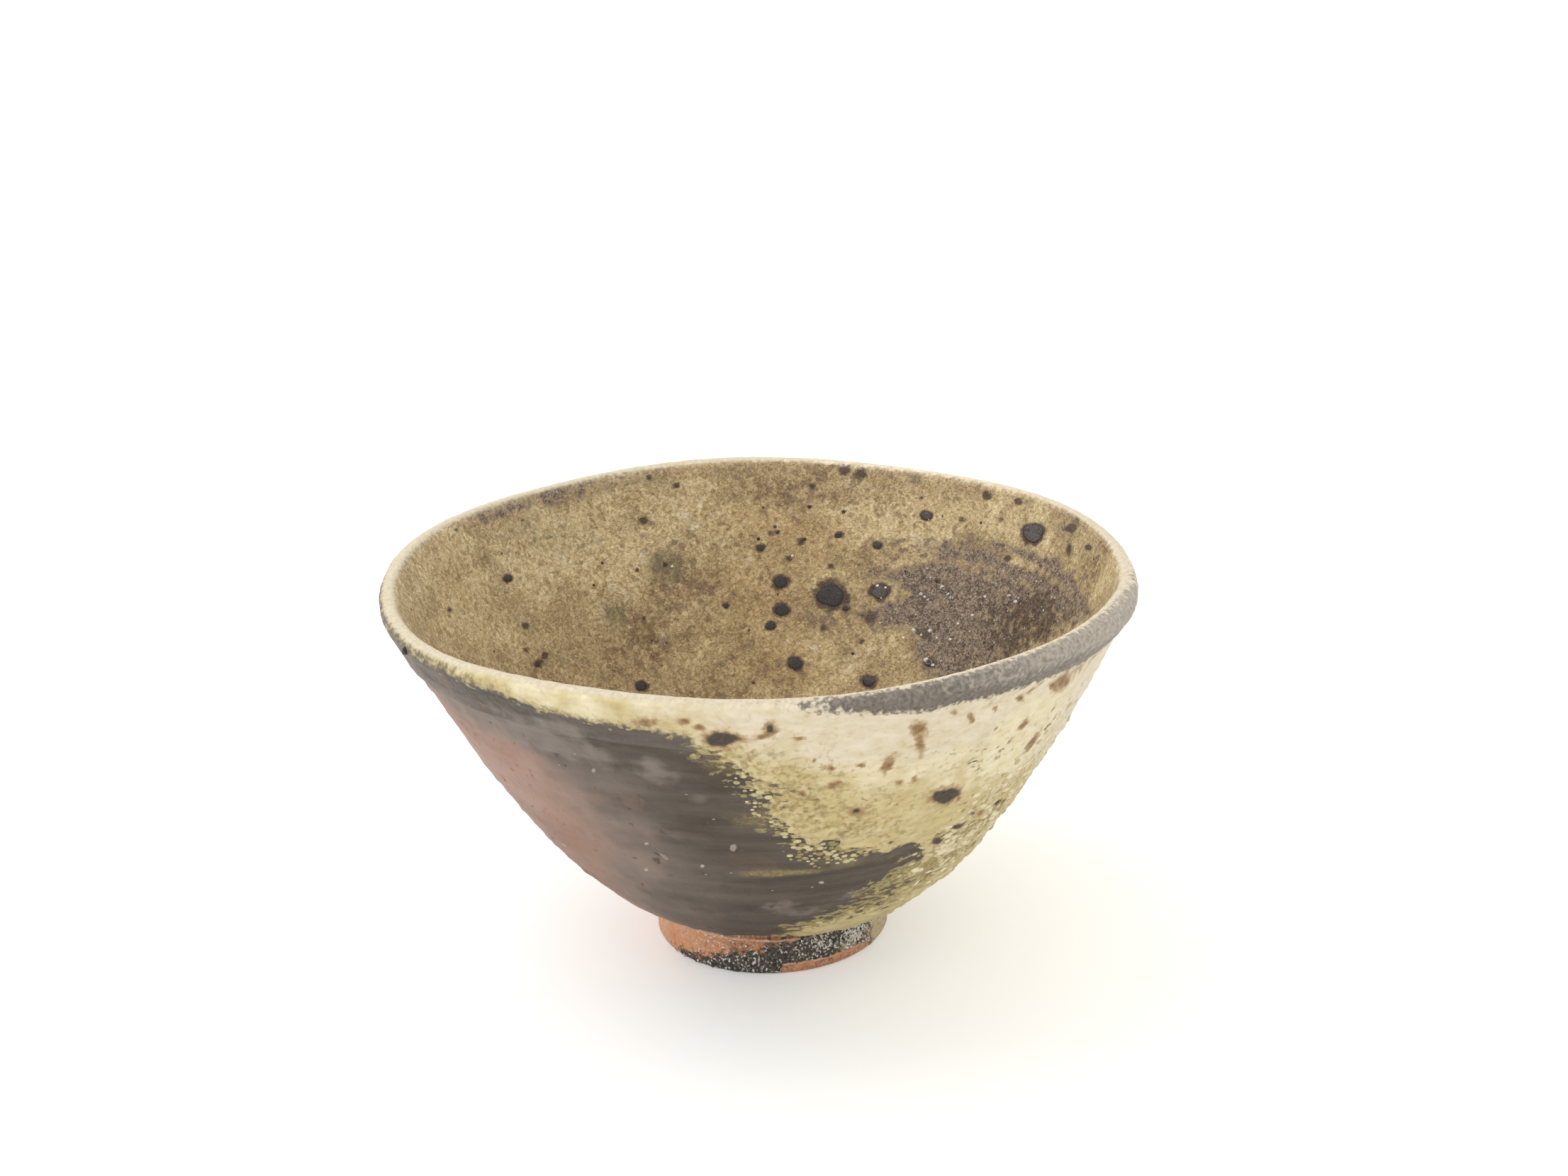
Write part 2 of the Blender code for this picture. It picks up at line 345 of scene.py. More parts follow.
sample = soft_noise(catch_points / MM, 5, 1)
print("noise runs from", round(float(sample.min()), 2), "to", round(float(sample.max()), 2))

# %% [markdown]
# ### Steps, turns and patches
# Where one colour or coat gives way to another, a smooth step or a soft hump says how much of each there
# is. Distances are measured on the skin, round the bowl and along it, so a patch keeps its size on the
# curved wall.


# %% Steps, turns and patches
def ease(value, low, high):
    """0 below low, 1 above high and a smooth step between."""
    share = np.clip((value - low) / (high - low), 0, 1)
    return share * share * (3 - 2 * share)


def hump(value, middle, width):
    """1 at the middle, falling softly to 0 on both sides."""
    return np.exp(-(((value - middle) / width) ** 2))


def turn_apart(angle, other):
    """The turn from one angle to another, from -pi to pi."""
    return (angle - other + math.pi) % (2 * math.pi) - math.pi


def turn_degrees(angle):
    """An angle in degrees, from -180 to 180."""
    return np.degrees(turn_apart(angle, 0.0))


def patch(angle, along, pixel, wide, tall):
    """A soft patch round a pixel's place, with its half width and half height in millimetres."""
    at_angle, at_along, _ = mark_at(pixel)
    across = turn_apart(angle, at_angle) * skin_radius(along)
    return np.exp(-((across / wide) ** 2) - ((along - at_along) / tall) ** 2)


def outline_depth(angle, along, corner_angle, corner_along):
    """Millimetres inside a closed outline on the skin, and less than 0 outside it."""
    middle = np.mean(corner_angle)
    across = turn_apart(angle, middle) * skin_radius(along)
    corners = np.stack([(corner_angle - middle) * skin_radius(corner_along), corner_along], -1)
    nearest, inside = np.full(across.shape, 1e9), np.zeros(across.shape, bool)
    for (x0, y0), (x1, y1) in zip(corners, np.roll(corners, -1, axis=0)):
        length = (x1 - x0) ** 2 + (y1 - y0) ** 2
        share = np.clip(((across - x0) * (x1 - x0) + (along - y0) * (y1 - y0)) / length, 0, 1)
        off_x, off_y = across - x0 - share * (x1 - x0), along - y0 - share * (y1 - y0)
        nearest = np.minimum(nearest, np.hypot(off_x, off_y))
        passed = across < x0 + (along - y0) * (x1 - x0) / (y1 - y0 + 1e-9)
        inside ^= ((y0 > along) != (y1 > along)) & passed
    return np.where(inside, nearest, -nearest)


print("a hump is", round(float(hump(1, 0, 1)), 2), "at its width, a step", ease(0.5, 0, 1), "halfway")

# %% [markdown]
# ## Building a mesh
# A piece is a stack of rings, from its face round an edge to a plain back that is sunk in what carries it.
# A coat that covers part of the turn is a sheet, with the same rings cut open. The values that a finish
# needs, such as how much iron there is at a point, go into the mesh as attributes.


# %% Meshes
def finished(name, points, faces, values, finish, nodes=()):
    """The piece as an object that rides on the bowl: welded, closed, faces out and smooth."""
    mesh = bpy.data.meshes.new(name)
    mesh.from_pydata(points.reshape(-1, 3).tolist(), [], [list(face) for face in faces])
    for key, value in values.items():
        field = mesh.attributes.new(key, "FLOAT", "POINT")
        field.data.foreach_set("value", np.ascontiguousarray(value, dtype=np.float32).ravel())
    shape = bmesh.new()
    shape.from_mesh(mesh)
    bmesh.ops.remove_doubles(shape, verts=shape.verts, dist=1e-7)
    bmesh.ops.recalc_face_normals(shape, faces=shape.faces)
    if shape.calc_volume(signed=True) < 0:
        bmesh.ops.reverse_faces(shape, faces=shape.faces)
    open_edges = sum(not edge.is_manifold for edge in shape.edges)
    shape.to_mesh(mesh)
    shape.free()
    mesh.shade_smooth()
    mesh.materials.append(finish)
    made = bpy.data.objects.new(name, mesh)
    bpy.context.scene.collection.objects.link(made)
    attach(made, "root")
    if nodes:
        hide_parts(*nodes)
    print(name, "has", len(mesh.polygons), "faces and", open_edges, "open edges")
    return made


def stack_faces(rows, columns, looped):
    """Quads of a stack of rings. A looped stack joins its last ring to its first."""
    quads = ring_faces(rows, columns)
    if looped:
        seam = ring_faces(2, columns)
        last = (rows - 1) * columns
        quads = np.concatenate([quads, np.where(seam < columns, seam + last, seam - columns)])
    return quads


def spaced(first, last, step):
    """Values from first to last, about step apart."""
    return np.linspace(first, last, max(2, round(abs(last - first) / step) + 1))


def grid_of(angles, rows):
    return np.broadcast_arrays(angles[None, :], rows[:, None])


def padded(values, before, after):
    """The fields on the visible rows, with their first and last row repeated for the hidden ones."""
    return {key: np.pad(field, ((before, after), (0, 0)), "edge") for key, field in values.items()}


print("a ring of 6 has", len(ring_faces(2, 6)), "quads")

# %% [markdown]
# ## Where the ash lies
# Ash settled on the right-hand wall and melted. Its edge runs down the front of the bowl, with a dark
# tongue of bare clay reaching into it low down, and a narrow strip of it hangs under the lip on the left.
# The edge is read from the picture as two lines of pixels, and a signed distance to it says how deep in the
# ash a point is.

# %% Ash outline
ASH_EDGE_PIXELS = (
    (1135, 1314), (1182, 1297), (1217, 1278), (1252, 1254), (1288, 1227), (1302, 1207), (1275, 1197),
    (1240, 1196), (1190, 1196), (1130, 1194), (1112, 1178), (1092, 1165), (1086, 1140), (1062, 1116),
    (1036, 1092), (1012, 1070), (992, 1055), (975, 1047),
)
STRIP_EDGE_PIXELS = (
    (606, 929), (640, 949), (679, 966), (712, 977), (757, 995), (801, 1008), (842, 1017), (890, 1023),
    (942, 1032), (985, 1042), (1020, 1050),
)
ASH_TOP = 95.0
ASH_FAR_CORNERS = ((60, ASH_TOP), (60, -15), (-88, -15))
ASH_SWAY = 13.0
FAR_OFF = 50.0
ASH_BACK_TOP = math.radians(112)
ASH_BACK_FOOT = math.radians(64)

edge_angle, edge_along = marks_along(ASH_EDGE_PIXELS)
strip_angle, strip_along = marks_along(STRIP_EDGE_PIXELS)
STRIP_START = math.radians(-178)
far_angle, far_along = np.array(ASH_FAR_CORNERS).T
front_angle = np.r_[edge_angle, edge_angle[-1], np.radians(far_angle)]
front_along = np.r_[edge_along, ASH_TOP, far_along]


def strip_low(angle):
    """The length along the skin of the strip's lower edge."""
    return np.interp(turn_apart(angle, 0.0), np.r_[STRIP_START, strip_angle], np.r_[CREST, strip_along])


def ash_depth(angle, along):
    """Millimetres inside the edge of the ash, and less than 0 on bare clay."""
    turn = turn_apart(angle, 0.0)
    radius = skin_radius(along)
    front = np.where(turn < 0, outline_depth(angle, along, front_angle, front_along), FAR_OFF)
    height = np.clip(along / COAT_EDGE, 0, 1)
    sway = ASH_SWAY * rough_noise(skin_mm(angle, along), 21.0, 49, 3)
    back = (ASH_BACK_FOOT + (ASH_BACK_TOP - ASH_BACK_FOOT) * height - turn) * radius + sway
    strip = np.where(turn < strip_angle[-1], along - strip_low(angle), -FAR_OFF)
    return np.maximum(np.minimum(front, back), strip)


print("turns of the ash's edge:", [round(turn) for turn in np.degrees(edge_angle).tolist()])

# %% [markdown]
# ## Spots of iron
# Grains of iron in the clay melt through the glaze as dark spots, each with a brown halo. The larger ones
# are placed where the picture shows them, by pixel and by radius in pixels. Outside they ran a little while
# they were soft, so there they are ovals with a lean. On the sides that the picture doesn't show they lie
# by chance, and so do many specks of rust and bloom.

# %% Iron spots
INSIDE_SPOTS = (
    (1172, 840, 20), (1456, 752, 13), (1241, 835, 12), (1101, 821, 10), (1103, 861, 10), (1087, 883, 7),
    (1122, 937, 10), (1193, 858, 4), (1183, 755, 5), (1238, 770, 6), (1307, 728, 8), (1393, 699, 6),
    (1438, 708, 5), (1511, 745, 6, 5, 0), (1536, 773, 4), (1135, 761, 3), (1097, 751, 3), (1312, 935, 7),
    (1226, 962, 9), (716, 816, 6), (757, 938, 4), (904, 968, 8), (1024, 855, 4), (953, 685, 4),
    (1073, 773, 5), (1190, 722, 3), (1142, 715, 3), (938, 797, 3), (1462, 749, 11), (1458, 756, 12),
    (1453, 748, 9),
)
SOFT_SPOTS = (
    (1113, 788, 9), (1172, 799, 9), (1163, 886, 10), (907, 735, 12), (915, 673, 8), (740, 884, 10),
    (1147, 685, 9), (1190, 664, 16), (1215, 668, 14), (1422, 787, 10), (1508, 775, 7, 16, 0),
    (1228, 871, 16), (634, 861, 6), (643, 748, 6), (736, 734, 6), (1357, 733, 9), (1412, 733, 7),
    (1300, 702, 6), (1216, 905, 8), (1305, 895, 14), (1130, 766, 9), (758, 936, 12), (767, 925, 9),
    (741, 917, 8), (904, 968, 14), (1087, 752, 8),
)
BLOOM_SPOTS = (
    (792, 785, 10), (804, 792, 6), (775, 812, 7), (860, 827, 9), (888, 846, 9), (868, 838, 6),
    (750, 862, 6), (730, 748, 8), (963, 728, 10), (845, 772, 6), (700, 800, 6), (660, 815, 7),
    (1195, 905, 6), (1148, 915, 6), (1112, 905, 5), (905, 790, 6), (1240, 745, 8), (1290, 760, 7),
    (1226, 918, 9), (985, 712, 8), (640, 850, 6),
)
OUTSIDE_SPOTS = (
    (1018, 1043, 25, 11, 0), (1329, 1122, 17, 10, 12), (1340, 1117, 13, 8, 24), (1407, 1131, 7, 5, 30),
    (1351, 1165, 9, 4, 20), (1322, 1187, 8, 5, 20), (1086, 1028, 5, 7, -10), (1208, 1144, 6, 3, 10),
)
RUST_SPOTS = (
    (1019, 1043, 32, 14, 0), (1330, 1122, 30, 16, 14), (1086, 1030, 13, 15, -10), (1297, 1028, 15, 14, 0),
    (1252, 1077, 9, 19, -32), (1208, 1144, 14, 8, 10), (1172, 1083, 8, 6, 0), (1267, 1103, 7, 5, 0),
    (1454, 1047, 6, 22, -38), (1499, 960, 11, 20, -42), (966, 1016, 14, 7, 0), (1132, 1120, 8, 6, 0),
    (1290, 1098, 5, 5, 0), (1297, 1046, 8, 22, 0), (1075, 1039, 12, 6, 12), (1176, 1108, 15, 9, 25),
    (1182, 1104, 7, 5, 0), (1192, 1163, 5, 5, 0), (1215, 1078, 8, 5, 0), (1370, 1012, 5, 8, 0),
    (1345, 1005, 6, 5, 0), (1440, 985, 7, 5, 10), (1486, 968, 8, 7, 0), (1404, 1000, 5, 4, 0),
    (1520, 935, 6, 6, 0), (985, 1025, 12, 6, 0), (911, 1018, 24, 8, 0), (1149, 1072, 4, 4, 0),
    (1127, 1042, 14, 3, 0), (1381, 1145, 8, 5, 30),
)
print(len(INSIDE_SPOTS) + len(OUTSIDE_SPOTS), "iron spots are placed by pixel")

# %% Spots on the skin
WIDEST_PIXEL = 0.3
REACH = 2
SPOT_TALL = 0.85


def oval(wide, tall, lean):
    """A matrix that makes an oval of a unit circle, with a lean in radians."""
    c, s = math.cos(lean), math.sin(lean)
    return np.array([[c, -s], [s, c]]) @ np.diag((wide, tall))


def pixel_reach(x, y):
    """A pixel to the right and a pixel up on the skin, as columns of millimetres across and along."""
    near = ((x - REACH, y), (x + REACH, y), (x, y + REACH), (x, y - REACH))
    left, right, below, above = [mark_at(pixel) for pixel in near]
    radius = skin_radius(mark_at((x, y))[1])
    across = [turn_apart(b[0], a[0]) * radius / (2 * REACH) for a, b in ((left, right), (below, above))]
    along = [(b[1] - a[1]) / (2 * REACH) for a, b in ((left, right), (below, above))]
    turn, sizes, turn_back = np.linalg.svd(np.array([across, along]))
    return turn @ np.diag(np.minimum(sizes, WIDEST_PIXEL)) @ turn_back


def spot_places(spots):
    """Angle, length along the skin, and the matrix that makes the spot's outline of a unit circle."""
    found = []
    for x, y, *shape in spots:
        wide, tall, lean = shape if len(shape) == 3 else (shape[0], SPOT_TALL * shape[0], 0)
        found.append((*mark_at((x, y))[:2], pixel_reach(x, y) @ oval(wide, tall, math.radians(lean))))
    return found


def chance_spots(seed, count, turns, alongs, sizes):
    """Spots by chance within a range of turns in degrees, of lengths along the skin and of sizes."""
    draw = np.random.default_rng(seed)
    angle = np.radians(draw.uniform(*turns, count))
    along, wide = draw.uniform(*alongs, count), draw.uniform(*sizes, count)
    shapes = zip(wide, wide * draw.uniform(0.6, 1.0, count), draw.uniform(-0.6, 0.6, count))
    return list(zip(angle, along, [oval(*shape) for shape in shapes]))


FLOOR_ALONG = SKIN_LENGTH[INSIDE_ROW + INSIDE_STEPS - 1]
inside_spots = spot_places(INSIDE_SPOTS)
inside_spots += chance_spots(71, 16, (-155, -25), (LINER_EDGE + 6, FLOOR_ALONG + 8), (0.4, 1.3))
soft_spots = spot_places(SOFT_SPOTS)
bloom_spots = spot_places(BLOOM_SPOTS)
bloom_spots += chance_spots(75, 60, (-180, 180), (LINER_EDGE + 3, AXIS - 8), (0.5, 1.4))
outside_spots = spot_places(OUTSIDE_SPOTS) + chance_spots(72, 16, (-12, 104), (16, 60), (0.4, 1.4))
rust_spots = spot_places(RUST_SPOTS) + chance_spots(73, 60, (-56, -5), (22, 62), (0.2, 0.6))
rust_spots += chance_spots(74, 40, (-50, 100), (22, 68), (0.6, 1.8))


def spot_stain(angle, along, spots, core, fade):
    """How much iron the spots leave: 1 within core radii of a spot's middle, 0 past fade radii."""
    uneven = 1 + 0.14 * rough_noise(skin_mm(angle, along), 1.6, 5, 2)
    stain = np.zeros(np.broadcast(angle, along).shape)
    for at_angle, at_along, shape in spots:
        apart = np.stack([turn_apart(angle, at_angle) * skin_radius(along), along - at_along])
        apart = np.linalg.norm(np.tensordot(np.linalg.inv(shape), apart, 1), axis=0) * uneven
        stain = np.maximum(stain, 1 - ease(apart, core, fade))
    return stain


print(len(inside_spots), "spots inside,", len(outside_spots) + len(rust_spots), "outside")

# %% [markdown]
# ## Colour zones
# Each coat has a few colours, and the mesh carries how much of each there is at a point. A painted image
# could carry them too, but that needs a picture file and an unwrapped mesh. So most zones are soft patches,
# laid by pixel with a half width, a half height and a share. The violet part of the liner is an outline,
# with fine rings on its right.

# %% Liner patches
VIOLET_OUTLINE = (
    (1228, 803), (1262, 800), (1300, 797), (1345, 798), (1362, 806), (1385, 815), (1412, 817), (1438, 824),
    (1458, 842), (1478, 860), (1500, 873), (1478, 893), (1420, 915), (1360, 935), (1330, 945), (1308, 930),
    (1292, 900), (1272, 882), (1240, 882), (1232, 864), (1256, 848), (1285, 838), (1262, 822), (1232, 815),
)
VIOLET_BAND = (
    (1400, 796), (1460, 797), (1490, 804), (1514, 820), (1532, 846), (1540, 864), (1515, 882), (1490, 880),
    (1470, 860), (1445, 835), (1412, 812),
)
TAN_ARC_PIXEL = (1465, 836)
TAN_ARC = mark_at(TAN_ARC_PIXEL)[1]
TAN_ARC_PATCH = ((1465, 838), 10, 6)
VIOLET_RINGS = ((1485, 835), 20, 12)
VIOLET_HIDDEN = ((1390, 920), 17, 13)
VIOLET_PATCHES = (
    ((1325, 775), 8, 2.8, 0.6), ((1400, 785), 6, 3, 0.5), ((760, 704), 9, 1.9, 0.5),
    ((835, 689), 9, 1.7, 0.45), ((700, 722), 8, 1.6, 0.5), ((905, 676), 8, 1.4, 0.5),
    ((1228, 871), 4, 3, 0.5), ((1165, 886), 2, 2, 0.5), ((1450, 790), 5, 2.5, 0.5),
    ((1385, 826), 8, 3, 0.9),
)
BROWN_PATCHES = (
    ((900, 905), 12, 6, 0.75), ((960, 845), 6, 4, 0.5), ((1090, 810), 9, 7, 0.25),
    ((1224, 868), 6, 3.5, 0.6), ((1320, 775), 11, 3.5, 0.5), ((1395, 785), 9, 4, 0.5),
    ((1252, 792), 6, 3, 0.5), ((1492, 802), 8, 6, 0.4), ((1090, 690), 14, 3, 0.5),
    ((1000, 955), 10, 4, 0.3), ((1195, 666), 6, 2.5, 0.8), ((1235, 930), 5, 4, 0.3),
    ((1545, 800), 4, 8, 0.3), ((860, 955), 9, 4, 0.3), ((1060, 730), 8, 4, 0.2), ((1050, 840), 6, 4, 0.2),
)
PALE_PATCHES = (
    ((1255, 730), 18, 7, 1.0), ((1350, 735), 14, 5, 0.25), ((950, 750), 20, 6, 1.0),
    ((1440, 720), 10, 5, 0.4), ((1190, 930), 10, 6, 0.5), ((770, 790), 12, 8, 0.6), ((865, 832), 5, 4, 0.5),
    ((650, 840), 12, 14, 0.7), ((1110, 960), 10, 5, 0.4), ((1228, 912), 6, 4, 0.4), ((808, 726), 8, 3, 0.4),
    ((1560, 815), 4, 9, 0.2), ((640, 822), 6, 6, 0.4), ((1568, 794), 3, 6, 0.6),
)
AMBER_PATCHES = (
    ((640, 830), 9, 12, 0.6), ((1070, 835), 16, 13, 0.7), ((1100, 950), 15, 6, 0.6),
    ((1340, 722), 14, 4, 0.5), ((1060, 730), 16, 5, 0.5), ((1545, 850), 3, 6, 0.4),
    ((1560, 790), 4, 8, 0.3), ((1165, 760), 9, 6, 0.4),
)
DARK_PATCHES = (
    ((1474, 876), 5, 3.5, 1.0), ((1420, 905), 10, 5, 0.8), ((1330, 815), 8, 2, 0.2),
    ((1300, 855), 5, 4, 0.4), ((1400, 845), 8, 3, 0.3), ((1512, 868), 4, 3, 0.7),
    ((1455, 870), 7, 4.5, 0.9), ((1482, 832), 8, 4, 0.4), ((1350, 930), 7, 4, 0.3),
    ((1300, 832), 5, 3, 0.25),
)
MOSS_PATCHES = (
    ((940, 797), 4.6, 3.4, 1.0), ((866, 866), 4.0, 3.4, 0.75), ((735, 735), 9, 4, 0.4),
    ((790, 765), 10, 4, 0.35), ((1293, 675), 2.0, 1.5, 0.9),
)
print("the violet part has", len(VIOLET_OUTLINE), "corners, and the tan arc is at", round(TAN_ARC, 1), "mm")


# %% Liner zones
def patches(angle, along, listed):
    return np.clip(sum(share * patch(angle, along, *where) for *where, share in listed), 0, 1)


def clipped(shares):
    return {key: np.clip(share, 0, 1) for key, share in shares.items()}


def liner_zones(angle, along):
    """The shares of the liner's colours."""
    laid = functools.partial(patches, angle, along)
    stain = functools.partial(spot_stain, angle, along)
    points = skin_mm(angle, along)
    mottle = rough_noise(points, 5.0, 25, 4)
    cloud = rough_noise(points, 16.0, 26, 2)
    fray = 1.2 * mottle + 0.8 * rough_noise(points, 1.6, 28, 2)
    rings = turned_noise(angle, along, 1.5, 29, 12.0) * patch(angle, along, *VIOLET_RINGS)
    hidden = 8.0 * patch(angle, along, *VIOLET_HIDDEN) - 4.5
    core = np.maximum(outline_depth(angle, along, *marks_along(VIOLET_OUTLINE)), hidden) + fray
    band = outline_depth(angle, along, *marks_along(VIOLET_BAND)) + fray
    violet = np.maximum(np.clip(0.55 + core / 4.0, 0, 1), 0.95 * np.clip(0.6 + band / 4.0, 0, 1))
    violet = np.maximum(violet, laid(VIOLET_PATCHES) + 0.15 * mottle)
    arc = hump(along, TAN_ARC, 0.9) * patch(angle, along, *TAN_ARC_PATCH)
    floor = ease(along, FLOOR_ALONG - 8, FLOOR_ALONG + 8)
    shares = {
        "violet": violet + 1.3 * rings - 0.25 * arc,
        "brown": laid(BROWN_PATCHES) + 0.7 * floor + 0.45 * mottle + 0.2 * cloud,
        "pale": 0.27 + laid(PALE_PATCHES) - 0.6 * mottle + 0.15 * cloud,
        "amber": laid(AMBER_PATCHES),
        "moss": laid(MOSS_PATCHES),
        "bloom": 0.8 * stain(bloom_spots, 0.1, 1.5),
        "umber": laid(DARK_PATCHES),
        "halo": np.maximum(0.85 * stain(inside_spots, 0.9, 1.8), 0.95 * stain(soft_spots, 0.0, 1.15)),
    }
    return clipped(shares)


print("zones of the liner:", *liner_zones(np.zeros(1), np.full(1, AXIS)))

# %% [markdown]
# ### Zones of the clay
# Bare clay takes its colour from the fire. It is pink and orange where the flame was clean, and nearly
# black where smoke lay. The border between the two is read from the picture, and the smoke grows with the
# distance from it. On the left a band of painted shadow also darkens the clay just under the lip coat's
# lower step.

# %% Clay zones
ORANGE_PATCHES = (
    ((735, 1120), 5, 9, 0.7), ((845, 1222), 7, 6, 0.8), ((812, 1203), 6, 5, 0.6), ((775, 1178), 5, 8, 0.5),
    # The last patch is a painted highlight on a small bump of the clay.
    ((655, 1010), 2, 2, 0.7),
)
MAUVE_PATCHES = (
    ((815, 1064), 16, 3.5, 0.9), ((760, 1045), 10, 4, 0.8), ((750, 1018), 9, 2.5, 0.8),
    ((900, 1092), 10, 2.5, 0.7), ((990, 1131), 5, 2.2, 0.9), ((950, 1180), 10, 4, 0.4),
    ((900, 1225), 8, 3, 0.4), ((1150, 1285), 12, 4, 0.9),
)
UMBER_PATCHES = (
    ((990, 1080), 6, 5, 0.9), ((1035, 1125), 6, 5, 0.6), ((930, 1045), 12, 2.5, 0.8),
    ((985, 1165), 8, 3, 0.8), ((1000, 1200), 8, 5, 0.4), ((880, 1052), 8, 2, 0.7),
)
HAZE_PATCHES = (
    ((1022, 1070), 5, 4, 0.8), ((1064, 1160), 6, 3.5, 0.75), ((1245, 1217), 6, 2, 0.5),
    ((1005, 1055), 4, 2, 0.7), ((1085, 1236), 4, 0.8, 0.9), ((1130, 1236), 5, 0.8, 0.9),
    ((1175, 1222), 5, 2, 0.5),
)
PINK_EDGE_PIXELS = (
    (905, 1277), (882, 1230), (855, 1195), (842, 1160), (836, 1125), (806, 1092), (755, 1066), (700, 1038),
)
pink_angle, pink_along = marks_along(PINK_EDGE_PIXELS)
SMOKE_BACK = 125.0
BACK_FLAME = math.radians(160)
LEFT_WEDGE = math.radians(-150)
SMOKE_FROM_PINK = (-14, -6, 0, 6, 14, 22)
SMOKE_SHARES = (0.05, 0.15, 0.32, 0.6, 0.85, 1.0)


def flash_zones(angle, along):
    """The shares of the bare clay's colours, with a painted shadow under the lip coat's step."""
    laid = functools.partial(patches, angle, along)
    turn = turn_degrees(angle)
    drift = rough_noise(skin_mm(angle, along), 9.0, 16, 4)
    past_pink = turn - np.degrees(np.interp(along, pink_along, pink_angle))
    past = np.radians(np.minimum(past_pink, SMOKE_BACK - turn)) * skin_radius(along) + 5.0 * drift
    bands = turned_noise(angle, along, 3.0, 17, 6.0)
    # Painted shadow: a dark band just under the lip coat's step, added to the smoke and umber shares
    shade = hump(strip_low(angle) - along, 2.0, 2.6) * (1 - ease(turn, -112, -100)) * ease(turn, -180, -165)
    behind = hump(turn_apart(angle, BACK_FLAME), 0.0, 0.5) * (1 - ease(along, 40, 55))
    from_left = np.degrees(np.abs(turn_apart(angle, LEFT_WEDGE)))
    wedge = ease(along, COAT_EDGE - 1, COAT_EDGE + 1.5) * (1 - ease(from_left, 25, 60))
    shares = {
        "smoke_and_shade": np.interp(past, SMOKE_FROM_PINK, SMOKE_SHARES) + 0.5 * shade + 0.1 * bands + 0.6 * wedge,
        "flash": (1 - ease(past, -14, 11)) * (1 - 0.8 * ease(along, 56, 66)),
        "flame": laid(ORANGE_PATCHES) + 0.6 * behind * ease(along, 6, 20),
        "mauve": laid(MAUVE_PATCHES) + 0.25 * bands,
        "umber": laid(UMBER_PATCHES) + 0.5 * shade + 0.15 * drift + 0.3 * wedge,
        "haze": laid(HAZE_PATCHES),
    }
    return clipped(shares)


print("zones of the clay:", *flash_zones(np.zeros(1), np.full(1, 30.0)))

# %% [markdown]
# ### Zones of the ash
# The ash is cream near the rim and to the right, and yellow below. Where it is thin, at its edge, it turns
# olive, and its hollows are darkened olive and brown as painted shade. The lower edge of the lip's grey band
# is needed here, because rust gathers under it.

# %% Ash zones
BUTTER_PATCHES = (
    ((1350, 1182), 7, 5, 0.9), ((810, 996), 7, 2, 0.7), ((1465, 1020), 9, 9, 1.0),
    ((1410, 1060), 8, 8, 0.8), ((1310, 1080), 10, 4, 0.5), ((1205, 1090), 8, 4, 0.5),
)
BARE_PATCHES = (
    ((1235, 1275), 10, 4, 0.55), ((1195, 1176), 9, 4, 0.3), ((1085, 1125), 4, 4, 0.3),
    ((1385, 1150), 8, 6, 0.12), ((1305, 1228), 8, 4, 0.3),
)
OLIVE_PATCHES = (
    ((1010, 1062), 7, 5, 0.7), ((1070, 1115), 7, 7, 0.6), ((1140, 1130), 9, 7, 0.45),
    ((1200, 1168), 12, 4.5, 0.9), ((1300, 1232), 12, 6, 0.85), ((700, 965), 5, 1.5, 0.4),
    ((1395, 1145), 9, 9, 0.65), ((1340, 1195), 8, 6, 0.35), ((1235, 1272), 12, 5, 0.7),
    ((1270, 1180), 8, 3, 0.5),
)
GRIT_EDGE_PIXELS = (
    (1100, 990), (1130, 997), (1190, 1003), (1237, 1005), (1308, 1002), (1356, 990), (1415, 977),
    (1474, 957), (1526, 935), (1556, 910),
)
grit_angle, grit_along = marks_along(GRIT_EDGE_PIXELS)


def over_grit(angle, along):
    """Millimetres above the lower edge of the lip's grey band."""
    return along - np.interp(turn_apart(angle, 0.0), grit_angle, grit_along)


CREAM_TURNS = (-130, -95, -77, -55, -40, 0, 90)
CREAM_FROM = (80, 69, 60, 55, 48, 44, 50)


def ash_zones(angle, along, relief):
    """The shares of the ash's colours, with the relief of its face in millimetres."""
    laid = functools.partial(patches, angle, along)
    stain = functools.partial(spot_stain, angle, along)
    depth, turn, points = ash_depth(angle, along), turn_degrees(angle), skin_mm(angle, along)
    shift = rough_noise(points, 17.0, 48, 3) * (3 + 10 * ease(turn, -45, 10))
    cream_from = np.interp(turn, CREAM_TURNS, CREAM_FROM) + shift
    blush = rough_noise(points, 3.0, 47, 3)
    under = hump(over_grit(angle, along), -1.2, 1.3) * ease(turn, -70, -50) * (1 - ease(turn, 20, 40))
    lower_right = ease(turn, -62, -40) * (1 - ease(along, 44, 58)) * (1 - ease(turn, 40, 90))
    rust = np.maximum(0.75 * stain(outside_spots, 0.6, 1.9), stain(rust_spots, 0.0, 1.4))
    strip = 0.3 * ease(-turn, 92, 108) * ease(depth, 0.0, 2.0)
    peel = lower_right * (1 - ease(turn, 0, 40)) * ease(depth, 0, 2) * ease(along, 12, 18)
    shares = {
        "cream": ease(along, cream_from - 9, cream_from + 7),
        "butter": np.maximum(strip, laid(BUTTER_PATCHES)),
        # Low relief raises olive and bare: painted shade in the hollows of the orange peel.
        "olive": np.maximum(0.6 - depth / 5.0, 0.8 * laid(OLIVE_PATCHES)) - 2.0 * relief,
        "bare_and_hollow_shade": np.maximum(0.45 - depth / 7.0, laid(BARE_PATCHES)) - 1.6 * relief,
        "peel": peel * (1 - 2 * rust),
        "iron": stain(outside_spots, 0.5, 1.3),
        "rust": np.maximum(rust, 0.55 * under * ease(blush, -0.3, 0.8)),
    }
    return clipped(shares)


print("zones of the ash:", *ash_zones(np.zeros(1), np.full(1, 30.0), 0.0))

